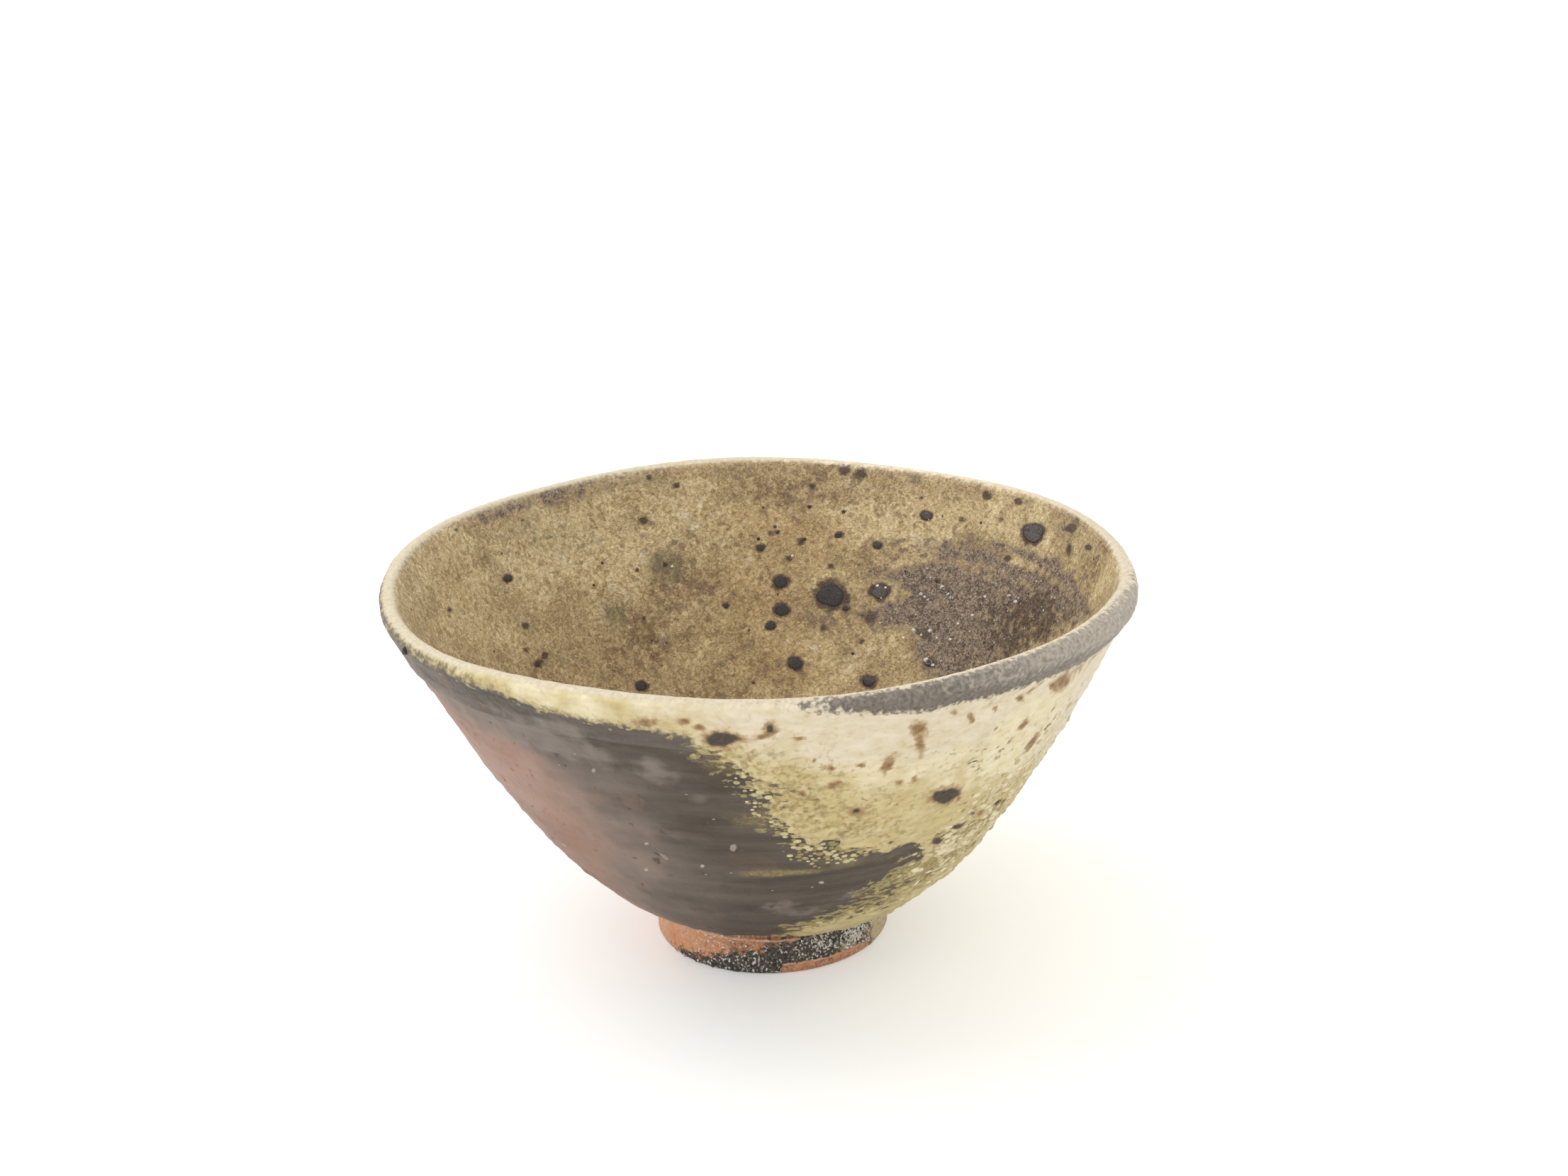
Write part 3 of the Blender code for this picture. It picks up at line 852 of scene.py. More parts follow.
# %% [markdown]
# ## Finishes
# All of the finishes are built the same way. A grain is noise at the size of the real grain. A layer is a
# colour of two tones mixed by a grain, and it lies over the layer below where the mesh says so, with a
# border that a grain makes ragged. The scale of a grain is worked out from a size in millimetres. The bump
# is kept for grain that is finer than the mesh.


# %% Finish tools
BUMP_STRENGTH = 0.7


def per_mm(size):
    """The scale of a noise whose bumps are this many millimetres apart, on coordinates in metres."""
    return 1 / (size * MM)


def grain(tree, place, size, detail=3.0, spread=0.2, stretch=(1.0, 1.0, 1.0), middle=0.5, swirl=0.0):
    """Noise of a size in millimetres, drawn out to run from 0 to 1. Swirl makes worms of its bumps."""
    mapped = add_node(tree, "ShaderNodeMapping", {"Vector": place, "Scale": stretch}).outputs["Vector"]
    bumps = {"Vector": mapped, "Scale": per_mm(size), "Detail": detail, "Distortion": swirl}
    noise = add_node(tree, "ShaderNodeTexNoise", bumps)
    step = {"Value": noise.outputs["Fac"], "From Min": middle - spread, "From Max": middle + spread}
    return add_node(tree, "ShaderNodeMapRange", step).outputs["Result"]


def ragged(tree, key, grit, amount, low, high):
    """A mask from a mesh attribute, its border broken up by a grain."""
    zone = add_node(tree, "ShaderNodeAttribute", attribute_name=key).outputs["Fac"]
    centred = add_node(tree, "ShaderNodeMath", {0: grit, 1: 0.5}, operation="SUBTRACT").outputs[0]
    mixed = {0: centred, 1: amount, 2: zone}
    broken = add_node(tree, "ShaderNodeMath", mixed, operation="MULTIPLY_ADD").outputs[0]
    step = {"Value": broken, "From Min": low, "From Max": high}
    return add_node(tree, "ShaderNodeMapRange", step, interpolation_type="SMOOTHSTEP").outputs["Result"]


def layer(tree, under, dark, pale, tone, mask):
    """A colour of two tones mixed by a grain, laid over another colour by a mask."""
    over = add_node(tree, "ShaderNodeMix", {0: tone, 6: dark, 7: pale}, data_type="RGBA").outputs[2]
    return add_node(tree, "ShaderNodeMix", {0: mask, 6: under, 7: over}, data_type="RGBA").outputs[2]


def layered(tree, skin, rows):
    """Layers over a skin. A row is a zone, two tones, their grain, and what ragged takes for the border."""
    for zone, dark, pale, tone, *border in rows:
        skin = layer(tree, skin, dark, pale, tone, ragged(tree, zone, *border))
    return skin


def fired(name, skin_of, rough, bump_mm, sheen=0.5):
    """A material from a function that gives its colour, its dullness and the height of its bump."""
    made = bpy.data.materials.new(name)
    made.use_nodes = True
    tree = made.node_tree
    shader = tree.nodes["Principled BSDF"]
    shader.inputs["Specular IOR Level"].default_value = sheen
    skin, dullness, height = skin_of(tree, add_node(tree, "ShaderNodeTexCoord").outputs["Object"])
    tree.links.new(skin, shader.inputs["Base Color"])
    step = {"Value": dullness, "To Min": rough[0], "To Max": rough[1]}
    tree.links.new(add_node(tree, "ShaderNodeMapRange", step).outputs["Result"], shader.inputs["Roughness"])
    bump = {"Height": height, "Distance": bump_mm * MM, "Strength": BUMP_STRENGTH}
    tree.links.new(add_node(tree, "ShaderNodeBump", bump).outputs["Normal"], shader.inputs["Normal"])
    print(name, "has", len(tree.nodes), "nodes")
    return made


# %% [markdown]
# ### Ash liner
# The glaze inside is melted wood ash. It is matte and sugary, because it grew fine crystals as it cooled,
# so it is tan with a pale grain. On the right it starved of air and went violet brown, with more shine.


# %% Ash liner finish
def liner_skin(tree, place):
    sugar = grain(tree, place, 0.65, detail=5.0, spread=0.15, swirl=1.2)
    flecks = grain(tree, place, 0.6, detail=4.0, spread=0.13, middle=0.54, swirl=1.2)
    clump = grain(tree, place, 1.5, detail=5.0, spread=0.15)
    skin = layer(tree, "#8C7550", "#8C7550", "#CFB78A", sugar, 1.0)
    rows = (
        ("pale", "#BCA272", "#EFDDB1", sugar, clump, 1.2, 0.2, 1.1),
        ("amber", "#9B7D51", "#CCAD78", sugar, clump, 0.8, 0.1, 1.2),
        ("brown", "#695339", "#A0855F", sugar, clump, 1.2, 0.2, 1.2),
        ("bloom", "#C4B08A", "#F0E4C6", sugar, clump, 0.9, 0.3, 0.9),
        ("moss", "#6A5F47", "#978966", sugar, clump, 0.4, 0.15, 1.0),
    )
    skin = layered(tree, skin, rows)
    violet = ragged(tree, "violet", clump, 0.6, 0.1, 0.95)
    skin = layer(tree, skin, "#57493F", "#B8A28C", flecks, violet)
    rows = (
        ("umber", "#44362C", "#806A56", flecks, clump, 0.8, 0.3, 1.1),
        ("halo", "#43342C", "#67533F", sugar, clump, 0.35, 0.1, 0.8),
    )
    return layered(tree, skin, rows), violet, sugar


liner_finish = fired("ash_liner_glaze", liner_skin, (0.55, 0.3), 0.14, sheen=0.4)

# %% [markdown]
# ### Flashed stoneware
# Bare clay takes its colour from the flame: orange and pink where it was clean, mauve and grey-brown where
# smoke lay. It is dry and smooth, with a faint sheen from the ash vapour, and the turning lines catch the
# light. Close to the ash it is flecked with stray drops.


# %% Flashed stoneware finish
def flashed_skin(tree, place):
    dust = grain(tree, place, 0.6)
    lines = grain(tree, place, 1.6, detail=4.0, stretch=(0.1, 0.1, 1.0))
    cloud = grain(tree, place, 7.0, detail=6.0, spread=0.15)
    fleck = grain(tree, place, 0.9, detail=3.0, spread=0.14, stretch=(0.5, 0.5, 1.0))
    freckle = grain(tree, place, 1.3, detail=2.0, spread=0.1, middle=0.62)
    broad = grain(tree, place, 16.0, detail=5.0, spread=0.15, stretch=(0.6, 0.6, 1.0))
    skin = layer(tree, "#80746B", "#80746B", "#9D9189", cloud, 1.0)
    rows = (
        # The smoke share also carries the painted shadow under the lip coat's step.
        ("smoke_and_shade", "#4C433B", "#6A6057", lines, cloud, 0.2, 0.0, 1.0),
        ("flash", "#9C7A69", "#B59587", broad, cloud, 0.3, 0.0, 1.0),
        ("flash", "#7D675B", "#8C756A", dust, freckle, 1.0, 0.9, 1.6),
        ("mauve", "#7F746C", "#948981", lines, cloud, 0.9, 0.5, 1.2),
        ("umber", "#4A4034", "#5D5246", lines, cloud, 0.7, 0.3, 1.1),
        ("flame", "#B98468", "#CB997E", cloud, cloud, 0.7, 0.25, 1.1),
        ("haze", "#75674A", "#A4946A", dust, cloud, 0.5, 0.2, 1.0),
        ("ash", "#857650", "#C3B482", dust, fleck, 0.9, 0.5, 0.7),
        # Darker where the clay is pitted or dented: painted shade in the pits.
        ("pit_shade", "#54483F", "#685C52", dust, dust, 0.5, 0.5, 1.1),
    )
    return layered(tree, skin, rows), lines, dust


wall_finish = fired("flashed_stoneware", flashed_skin, (0.45, 0.58), 0.06, sheen=0.3)

# %% [markdown]
# ### Melted ash
# Where the ash lies thick it is pale yellow, and cream towards the rim and the right. Where it thins it is
# an olive brown glass, broken by flecks of the dark clay, and round the iron it is stained brown. Its
# hollows take the olive and dark tones as painted shade.


# %% Melted ash finish
def ash_skin(tree, place):
    dust = grain(tree, place, 0.6)
    streak = grain(tree, place, 1.3, detail=4.0, spread=0.17, stretch=(0.5, 0.5, 1.0))
    dash = grain(tree, place, 0.9, detail=3.0, spread=0.14, stretch=(0.4, 0.4, 1.0))
    cloud = grain(tree, place, 6.0, detail=6.0, spread=0.15)
    fleck = grain(tree, place, 1.0, detail=3.0, spread=0.14)
    skin = layer(tree, "#CDB97F", "#CDB97F", "#E2D2A0", streak, 1.0)
    rows = (
        ("cream", "#E6D6B6", "#F3E6CE", streak, cloud, 0.6, 0.0, 1.0),
        ("butter", "#EDDEB2", "#FBEFCD", streak, cloud, 0.6, 0.2, 0.9),
        ("olive", "#958150", "#C2AE7A", dust, fleck, 0.8, 0.25, 1.1),
        # Bare clay at the ash's thin edge, and painted shade in its hollows.
        ("bare_and_hollow_shade", "#5A4F40", "#7D6F58", dust, dash, 1.0, 0.5, 0.8),
        ("rust", "#A98A5E", "#C2A274", dust, fleck, 0.35, 0.05, 0.7),
        ("rust", "#785D3E", "#98794F", dust, fleck, 0.35, 0.45, 1.1),
        ("iron", "#3C342C", "#564A3C", dust, fleck, 0.15, 0.2, 0.85),
    )
    return layered(tree, skin, rows), cloud, dust


ash_finish = fired("melted_ash", ash_skin, (0.38, 0.52), 0.08, sheen=0.4)

# %% [markdown]
# ### Lip coat
# The lip is where all of the coats meet and thin over an edge. It is cream on the left. On the right it
# stayed dry and took up grey-brown grit. Inside it runs into the liner, and outside into the clay or the
# ash, so its colour starts from theirs. The cream line on the crest is partly pale glaze and partly a
# painted highlight, and the upper edge of the grey band is a painted highlight too.


# %% Lip finish
def lip_skin(tree, place):
    grit = grain(tree, place, 0.9, spread=0.15)
    dust = grain(tree, place, 0.6)
    skin = flashed_skin(tree, place)[0]
    for zone, coat_skin, *border in (("ash", ash_skin, 0.25, 0.3, 0.75), ("tan", liner_skin, 0.4, 0.2, 0.8)):
        both = {0: ragged(tree, zone, grit, *border), 6: skin, 7: coat_skin(tree, place)[0]}
        skin = add_node(tree, "ShaderNodeMix", both, data_type="RGBA").outputs[2]
    rows = (
        # The crest's cream line: the lip's pale glaze with a painted highlight along its top.
        ("crest", "#CCBD9C", "#DFD3BB", dust, grit, 0.2, 0.3, 0.8),
        ("grit", "#645A51", "#8A8075", dust, grit, 0.5, 0.25, 0.75),
        # Paler grey band: a painted highlight along its upper edge, and paler grit at the far right.
        ("pale_and_highlight", "#9F9688", "#C6BBAB", dust, grit, 0.6, 0.2, 1.2),
    )
    return layered(tree, skin, rows), grit, grit


lip_finish = fired("lip_ash_glaze", lip_skin, (0.42, 0.6), 0.1)

# %% [markdown]
# ### Foot clay and cinders
# The foot is bare orange clay with the shine of ash vapour; pale beads on its front stand for glints, a
# painted highlight. Cinders stuck to its front as a black and silver glassy crust, its silver partly
# painted glints.


# %% Foot and crust finishes
def foot_skin(tree, place):
    dust = grain(tree, place, 0.5)
    lumps = grain(tree, place, 0.9)
    cloud = grain(tree, place, 3.0, detail=5.0)
    skin = layer(tree, "#E09768", "#E09768", "#F6BF94", cloud, 1.0)
    rows = (
        ("brown", "#8E5B3D", "#DDA384", dust, cloud, 0.9, 0.25, 1.2),
        ("cinder", "#3F352E", "#7D6A5B", dust, lumps, 1.1, 0.3, 1.1),
        # Paler where the sole is worn and along the flake's edge, with a painted highlight on the ridge.
        ("pale_and_highlight", "#DBAB8C", "#F0CDB4", dust, cloud, 0.7, 0.3, 1.0),
        ("cream", "#BBA67E", "#DACAA4", dust, cloud, 0.6, 0.3, 0.8),
    )
    return layered(tree, skin, rows), cloud, lumps


def cinder_skin(tree, place):
    dust = grain(tree, place, 0.45)
    lumps = grain(tree, place, 1.0)
    skin = layer(tree, "#231F1B", "#231F1B", "#70655A", dust, 1.0)
    rows = (
        ("tan", "#7D6B4E", "#B7A680", dust, lumps, 0.9, 0.4, 1.0),
        # Silver flecks on the black: partly silvery glass, partly painted glints.
        ("silver_and_glints", "#A8A095", "#F4EFE6", dust, dust, 1.7, 0.6, 0.95),
    )
    return layered(tree, skin, rows), lumps, dust


foot_finish = fired("bare_foot_clay", foot_skin, (0.13, 0.33), 0.12)
cinder_finish = fired("cinder_crust", cinder_skin, (0.14, 0.4), 0.14)

# %% [markdown]
# ### Iron, beads and flecks
# The iron spots are black glass, greyed in places, with a darker rim. Small beads take their tone from a
# number of their own: drops of ash run from olive to cream, specks of iron from black to brown, cinders
# from black to silver, and flecks of feldspar are pale. The pale glints in the glaze and on the foot
# stand for highlights: they are painted highlights.


# %% Iron and bead finishes
def iron_skin(tree, place):
    dust = grain(tree, place, 0.4)
    skin = layer(tree, "#302D2C", "#302D2C", "#4A4644", dust, 1.0)
    rows = (
        ("grey", "#4A4643", "#68625E", dust, dust, 0.4, 0.2, 0.9),
        ("rim", "#261F1D", "#3B312B", dust, dust, 0.5, 0.3, 0.9),
    )
    return layered(tree, skin, rows), dust, dust


def bead_skin(low, high):
    """The colour function of beads whose tone runs from one colour to another."""

    def skin(tree, place):
        dust = grain(tree, place, 0.4)
        return layer(tree, low, high, high, dust, ragged(tree, "tone", dust, 0.3, 0.0, 1.0)), dust, dust

    return skin


iron_finish = fired("iron_spot_glass", iron_skin, (0.2, 0.4), 0.06, sheen=0.25)
drop_finish = fired("ash_drops", bead_skin("#9F8F5C", "#E0D3A4"), (0.3, 0.45), 0.03)
peel_finish = fired("ash_peel", bead_skin("#CDBD8A", "#F5EBC8"), (0.3, 0.45), 0.03)
speck_finish = fired("iron_specks", bead_skin("#231F1B", "#57473A"), (0.3, 0.45), 0.03)
# Glass glints and glint domes are pale, glossy beads for the glints of the violet glaze: painted highlights.
glint_finish = fired("glass_glints", bead_skin("#7A7068", "#D8D2C8"), (0.08, 0.2), 0.02)
shine_finish = fired("glass_drops", bead_skin("#A8A198", "#ECE8E0"), (0.05, 0.12), 0.01)
bubble_finish = fired("burst_bubble_glass", bead_skin("#4A423C", "#8F877D"), (0.06, 0.16), 0.02)
cinder_bead_finish = fired("cinder_beads", bead_skin("#191613", "#C9C2B8"), (0.1, 0.25), 0.03)
# Pale beads that stand for glints of light on the glossy foot: painted highlights.
foot_glint_finish = fired("foot_glint_beads", bead_skin("#E8B894", "#FFEFDF"), (0.08, 0.2), 0.02)
fleck_finish = fired("feldspar_flecks", bead_skin("#7D7168", "#B9AEA2"), (0.3, 0.5), 0.03)

# %% [markdown]
# ## Bowl wall
# The wall is the thrown clay. Outside it shows the lines of turning and a few soft swellings of throwing.
# The inside of the wall is under the liner, so a few rings are enough there. The seat of the foot has one
# tone.

# %% Clay relief
DENTS = (
    ((738, 1122), 10.0, 0.6), ((803, 1195), 9.0, 0.6), ((660, 1011), 1.5, 0.24), ((700, 1021), 1.6, 0.22),
    ((640, 1000), 1.2, 0.15), ((687, 1024), 0.7, -0.22), ((782, 1070), 0.8, -0.22),
    ((725, 1102), 0.6, -0.2), ((714, 1112), 0.5, -0.2), ((847, 1186), 0.6, -0.18),
    ((922, 1218), 0.9, -0.22), ((945, 1240), 0.7, -0.16), ((1045, 1206), 0.7, -0.22),
    ((760, 1155), 0.9, 0.15), ((797, 1188), 1.0, 0.16), ((872, 1090), 0.6, -0.15),
    ((1000, 1238), 0.6, -0.15), ((890, 1170), 0.5, -0.15),
)


def dents(angle, along):
    """Small bumps and pits in the clay, in millimetres."""
    return sum(depth * patch(angle, along, pixel, size, size) for pixel, size, depth in DENTS)


def pitting(points):
    """Chance pits in the clay, from 0 to about 0.5."""
    return np.clip(soft_noise(points, 1.7, 20) + 0.6 * soft_noise(points, 0.8, 22) - 0.72, 0, 1)


def wall_lift(angle, along):
    """Relief of the bare clay, in millimetres."""
    swell = 0.11 * turned_noise(angle, along, 7.0, 11) + 0.05 * turned_noise(angle, along, 2.2, 12, 16.0)
    fine = 0.03 * turned_noise(angle, along, 0.9, 13, 20.0)
    points = skin_mm(angle, along)
    lumps = 0.15 * soft_noise(points, 9.0, 18) + 0.07 * soft_noise(points, 4.0, 14)
    lumps = lumps + 0.035 * soft_noise(points, 1.4, 15)
    pimples = 0.4 * np.clip(soft_noise(points, 1.9, 19) - 0.4, 0, 1) - 0.4 * pitting(points)
    return (swell + fine + lumps + pimples + dents(angle, along)) * ease(along, 0.5, 4.0)


print("relief of the clay, 30 mm up the front:", round(float(wall_lift(-math.pi / 2, 30.0)), 2), "mm")

# %% Bowl wall
WALL_COLUMNS = 670
WALL_STEP = 0.52
SEAT_RADII = np.array([0.0, 5.0, 10.0, 14.0, 17.0, 19.0])
SUNK = -0.3
DROP_LINE = ((1102, 1236), 8, 0.7)
DROP_PATCHES = (
    ((1056, 1118), 3, 4, 0.6), ((1140, 1213), 7, 3.0, 0.9), ((1190, 1216), 6, 2.6, 0.9),
    ((1100, 1178), 3, 3, 0.5), ((1080, 1143), 3, 3, 0.4),
)
STREAK_PATCHES = (
    ((1250, 1254), 7, 3, 0.6), ((1205, 1286), 8, 2.5, 0.6), ((1290, 1225), 5, 3, 0.5),
    ((1140, 1308), 7, 1.6, 0.5),
)

wall_angles = ring_angles(WALL_COLUMNS)
outer_grid = grid_of(wall_angles, spaced(0, COAT_EDGE + 1.5, WALL_STEP))
hidden_rows = np.concatenate([spaced(COAT_EDGE + 4, CREST + 4, 2.0), spaced(CREST + 8, AXIS, 9.0)])
hidden = skin_place(*grid_of(wall_angles, hidden_rows), SUNK / 2)
seat_r = SEAT_RADII[:, None]
seat = turned_place(seat_r, wall_angles, SEAT_HEIGHT + 0 * seat_r * wall_angles)
wall_points = np.concatenate([seat, skin_place(*outer_grid, wall_lift(*outer_grid)), hidden])
wall_depth = ash_depth(*outer_grid)
streak = 0.4 * patch(*outer_grid, *DROP_LINE) + patches(*outer_grid, STREAK_PATCHES)
wall_drops = 0.3 - np.abs(wall_depth + 0.2) / 3.0 + 2.0 * patches(*outer_grid, DROP_PATCHES)
wall_values = {
    **flash_zones(*outer_grid),
    "ash": np.clip(0.42 + wall_depth / 12.0 + streak, 0, 1) * ease(outer_grid[1], 0.0, 0.8),
    "drops": np.clip(wall_drops, 0, 1) * ease(outer_grid[1], 4, 9),
    "flecks": ease(-wall_depth, 2, 6),
    # Pits and dents darkened in colour: painted shade where the relief sinks.
    "pit_shade": np.clip(4.0 * pitting(skin_mm(*outer_grid)) - 6.0 * dents(*outer_grid), 0, 1),
}
wall_fields = padded(wall_values, len(seat), len(hidden))
for field in wall_fields.values():
    field[: len(seat)] = field[len(seat)].mean()
bowl_wall = finished(
    "bowl_wall_clay", wall_points, stack_faces(len(wall_points), WALL_COLUMNS, looped=False), wall_fields,
    wall_finish, ["bowl_wall"],
)

# %% [markdown]
# ## Liner
# The liner covers the inside. Its face keeps the soft rings of the potter's fingers and a sugary
# unevenness, and its back is sunk in the clay.

# %% Liner
LINER_COLUMNS = 700
LINER_TOP = LINER_EDGE - 1.6


def liner_lift(angle, along):
    """Lift of the liner's face off the clay, in millimetres."""
    points = skin_mm(angle, along, LINER_LIFT)
    rings = 0.2 * turned_noise(angle, along, 6.0, 21, 14.0) + 0.06 * turned_noise(angle, along, 1.8, 22, 14.0)
    sugar = 0.06 * soft_noise(points, 2.6, 23) + 0.035 * soft_noise(points, 1.1, 24)
    return LINER_LIFT - 0.1 + (rings + sugar) * ease(along, LINER_TOP, LINER_TOP + 6)


liner_angles = ring_angles(LINER_COLUMNS)
liner_rows = np.concatenate([spaced(LINER_TOP, FLOOR_ALONG, 0.5), spaced(FLOOR_ALONG, AXIS, 1.0)[1:]])
liner_grid = grid_of(liner_angles, liner_rows)
liner_back = skin_place(*grid_of(liner_angles, spaced(AXIS, LINER_TOP, 12.0)), SUNK)
liner_points = np.concatenate([skin_place(*liner_grid, liner_lift(*liner_grid)), liner_back])
liner_values = liner_zones(*liner_grid)
to_right = ease(np.sin(liner_grid[0] + math.radians(30)), -0.2, 0.9)
liner_values["specks"] = (0.25 + 0.75 * to_right) * ease(liner_grid[1], LINER_EDGE + 1, LINER_EDGE + 3)
liner_values["glints"] = ease(liner_values["violet"], 0.55, 0.95)
liner = finished(
    "liner_ash_glaze", liner_points, stack_faces(len(liner_points), LINER_COLUMNS, looped=False),
    padded(liner_values, 0, len(liner_back)), liner_finish, ["liner_glaze"],
)

# %% [markdown]
# ## Lip
# The lip coat rolls over the rim. It is thickest on the crest, sinks into the liner inside, and ends
# outside in a low step, 8 to 9 mm down. The dry grey band on the right is read from the picture by its
# lower edge.

# %% Lip zones
GRIT_TURNS = (-130, -96, -84, -60, -30, -17, -5, 12)
GRIT_SHARES = (0.0, 0.45, 1.0, 1.0, 0.95, 0.6, 0.2, 0.0)
# How much paler the grey band is round the bowl, growing towards the far right.
PALE_GRIT_TURNS = (-80, -68, -56, -35, 0)
PALE_GRIT_SHARES = (0.0, 0.15, 0.55, 0.9, 1.3)
# How strong the crest's line of pale glaze and painted highlight is round the bowl.
CREST_TURNS = (-180, -165, -140, -95, -75, -10, 15, 60, 100, 180)
CREST_GLAZE_AND_HIGHLIGHT = (0.9, 0.9, 1.0, 1.0, 0.7, 0.8, 0.9, 0.5, 0.9, 1.0)


def grit_zone(angle, along):
    """1 on the dry grey band of the lip at the right, by distance from its lower edge."""
    ends = np.interp(turn_degrees(angle), GRIT_TURNS, GRIT_SHARES)
    outside = 1 - ease(along, CREST - 0.7, CREST + 0.4)
    return np.clip(0.5 + over_grit(angle, along) / 2.0, 0, 1) * ends * outside


def pale_grit_zone(angle, along):
    """1 where the grey band is paler: a painted highlight at its top, and all over at the far right."""
    share = np.interp(turn_degrees(angle), PALE_GRIT_TURNS, PALE_GRIT_SHARES)
    # upper is a painted highlight along the top of the grey band, where it faces the light.
    upper = 0.6 * ease(along, CREST - 3.5, CREST - 0.8)
    return grit_zone(angle, along) * np.clip(share - 0.35 + upper, 0, 1.3)


def crest_glaze_and_highlight(angle, along):
    """The crest's cream line, strongest at the front left: pale glaze and a painted highlight."""
    cream = np.interp(turn_degrees(angle), CREST_TURNS, CREST_GLAZE_AND_HIGHLIGHT)
    return np.clip(1.15 - np.abs(along - CREST) / (0.5 + 0.5 * cream), 0, 1) * cream


print("grey on the lip at the right:", round(float(grit_zone(math.radians(-40), CREST - 2)), 2))

# %% Lip
LIP_COLUMNS = 820
LIP_STEP = 0.42
ROLL_TURN, ROLL_WIDTH = -25, 13
DIP_TURN, DIP_WIDTH = 24, 20


def lip_lift(angle, along):
    """Lift of the lip coat off the clay, thinning to both edges. At the right it is rolled out, then dips."""
    points, turn = skin_mm(angle, along, LIP_LIFT), turn_degrees(angle)
    roll = hump(turn, ROLL_TURN, ROLL_WIDTH) * ease(along, COAT_EDGE + 1, CREST - 0.8)
    roll = 0.9 * roll * (1 - ease(along, CREST - 0.3, CREST + 1.5))
    roll = roll - 0.4 * hump(turn, DIP_TURN, DIP_WIDTH) * ease(along, COAT_EDGE + 1, CREST)
    outer_end = COAT_EDGE - 0.4 + 0.5 * turned_noise(angle, along * 0, 3.0, 31, 4.0)
    taper = 1.6 + 4.0 * ease(ash_depth(angle, along), 1, 5)
    low_edge = np.sqrt(np.clip((along - outer_end) / taper, 0, 1))
    inner_edge = ease(along, LINER_EDGE - 1.4, LINER_EDGE + 1.4)
    wobble = 0.1 * turned_noise(angle, along, 4.0, 32, 6.0) + 0.05 * soft_noise(points, 2.0, 33)
    wobble = wobble + (0.03 + 0.09 * grit_zone(angle, along)) * rough_noise(points, 1.3, 34, 2)
    return -0.2 + (LIP_LIFT + 0.1 + wobble * (1 - inner_edge)) * low_edge + 0.2 * (1 - 2 * inner_edge) + roll


lip_angles = ring_angles(LIP_COLUMNS)
lip_grid = grid_of(lip_angles, spaced(COAT_EDGE - 1.0, LINER_EDGE + 1.6, LIP_STEP))
lip_back = skin_place(*grid_of(lip_angles, spaced(LINER_EDGE + 1.4, COAT_EDGE - 0.8, 2.0)), SUNK)
lip_points = np.concatenate([skin_place(*lip_grid, lip_lift(*lip_grid)), lip_back])
lip_values = {
    **flash_zones(*lip_grid),
    **liner_zones(*lip_grid),
    **ash_zones(*lip_grid, 0.0),
    "olive": np.clip(0.5 - ash_depth(*lip_grid) / 3.0, 0, 1),
    "bare_and_hollow_shade": np.zeros(lip_grid[0].shape),
    "ash": np.clip(0.5 + ash_depth(*lip_grid) / 4.0, 0, 1),
    "crest": crest_glaze_and_highlight(*lip_grid),
    "tan": ease(lip_grid[1], CREST - 0.3, CREST + 1.2),
    "grit": grit_zone(*lip_grid),
    "pale_and_highlight": pale_grit_zone(*lip_grid),
    "pit_shade": np.zeros(lip_grid[0].shape),
}
finished(
    "lip_glaze_roll", lip_points, stack_faces(len(lip_points), LIP_COLUMNS, looped=True),
    padded(lip_values, 0, len(lip_back)), lip_finish, ["lip_glaze"],
)

# %% [markdown]
# ## Melted ash
# The ash is a sheet with a ragged edge. Its lift comes from the distance to the outline, roughened at the
# sizes of drops and runs. Past the edge the sheet dips into the clay, so the border that shows is where two
# surfaces cross, and islands and bays come by themselves. Its face is pocked like orange peel.

# %% Ash relief
ASH_BACK = -0.75


def ash_relief(angle, along):
    """The orange peel of the ash's face."""
    points = skin_mm(angle, along, ASH_LIFT)
    peel = 0.08 * soft_noise(points, 2.2, 44) + 0.07 * soft_noise(points, 1.1, 45)
    runs = 0.1 * turned_noise(angle, along, 1.3, 46, 4.0)
    rough = ease(np.cos(angle), -0.1, 0.7) * (1 - 0.7 * ease(along, 45, 60))
    return 0.1 * turned_noise(angle, along, 5.0, 43, 8.0) + peel * (0.5 + 1.6 * rough) + 1.5 * runs * rough


def ash_lift(angle, along):
    """Lift of the ash's face off the clay."""
    points = skin_mm(angle, along, ASH_LIFT)
    runs = 3.6 * rough_noise(points, 4.5, 41, 4) + 2.4 * turned_noise(angle, along, 2.0, 42, 5.0)
    depth = ash_depth(angle, along) + runs
    ends = 1 - ease(along + 0.6 * runs, 2.0, 5.0) + ease(along, COAT_EDGE - 0.5, COAT_EDGE + 5.0)
    cover = np.sqrt(np.clip(depth / 3.0, 0, 1)) - ease(-depth, 0, 1.5) - 1.6 * ends
    thick = 0.45 + 0.3 * ease(depth, 2.0, 12.0)
    lift = wall_lift(angle, along) + thick * cover + ash_relief(angle, along) * np.clip(cover, 0, 1)
    return np.maximum(lift, ASH_BACK + 0.05)


print("lift of the ash at the right:", ash_lift(np.zeros(1), np.full(1, 40.0)).round(2).tolist(), "mm")


# %% Melted ash
def sheet_faces(front, back, columns):
    """Quads of a looped stack of front and back rows, cut open and closed by short faces at both ends."""
    rows = front + back
    quads = stack_faces(rows, columns, looped=True)
    faces = quads.reshape(-1, columns, 4)[:, :-1].reshape(-1, 4).tolist()
    cuts = np.linspace(0, front - 1, back).round().astype(int)
    for i, (low, high) in enumerate(zip(cuts[:-1], cuts[1:])):
        cap = np.array([*range(low, high + 1), rows - 2 - i, rows - 1 - i]) * columns
        faces += [cap.tolist(), (cap[::-1] + columns - 1).tolist()]
    return faces


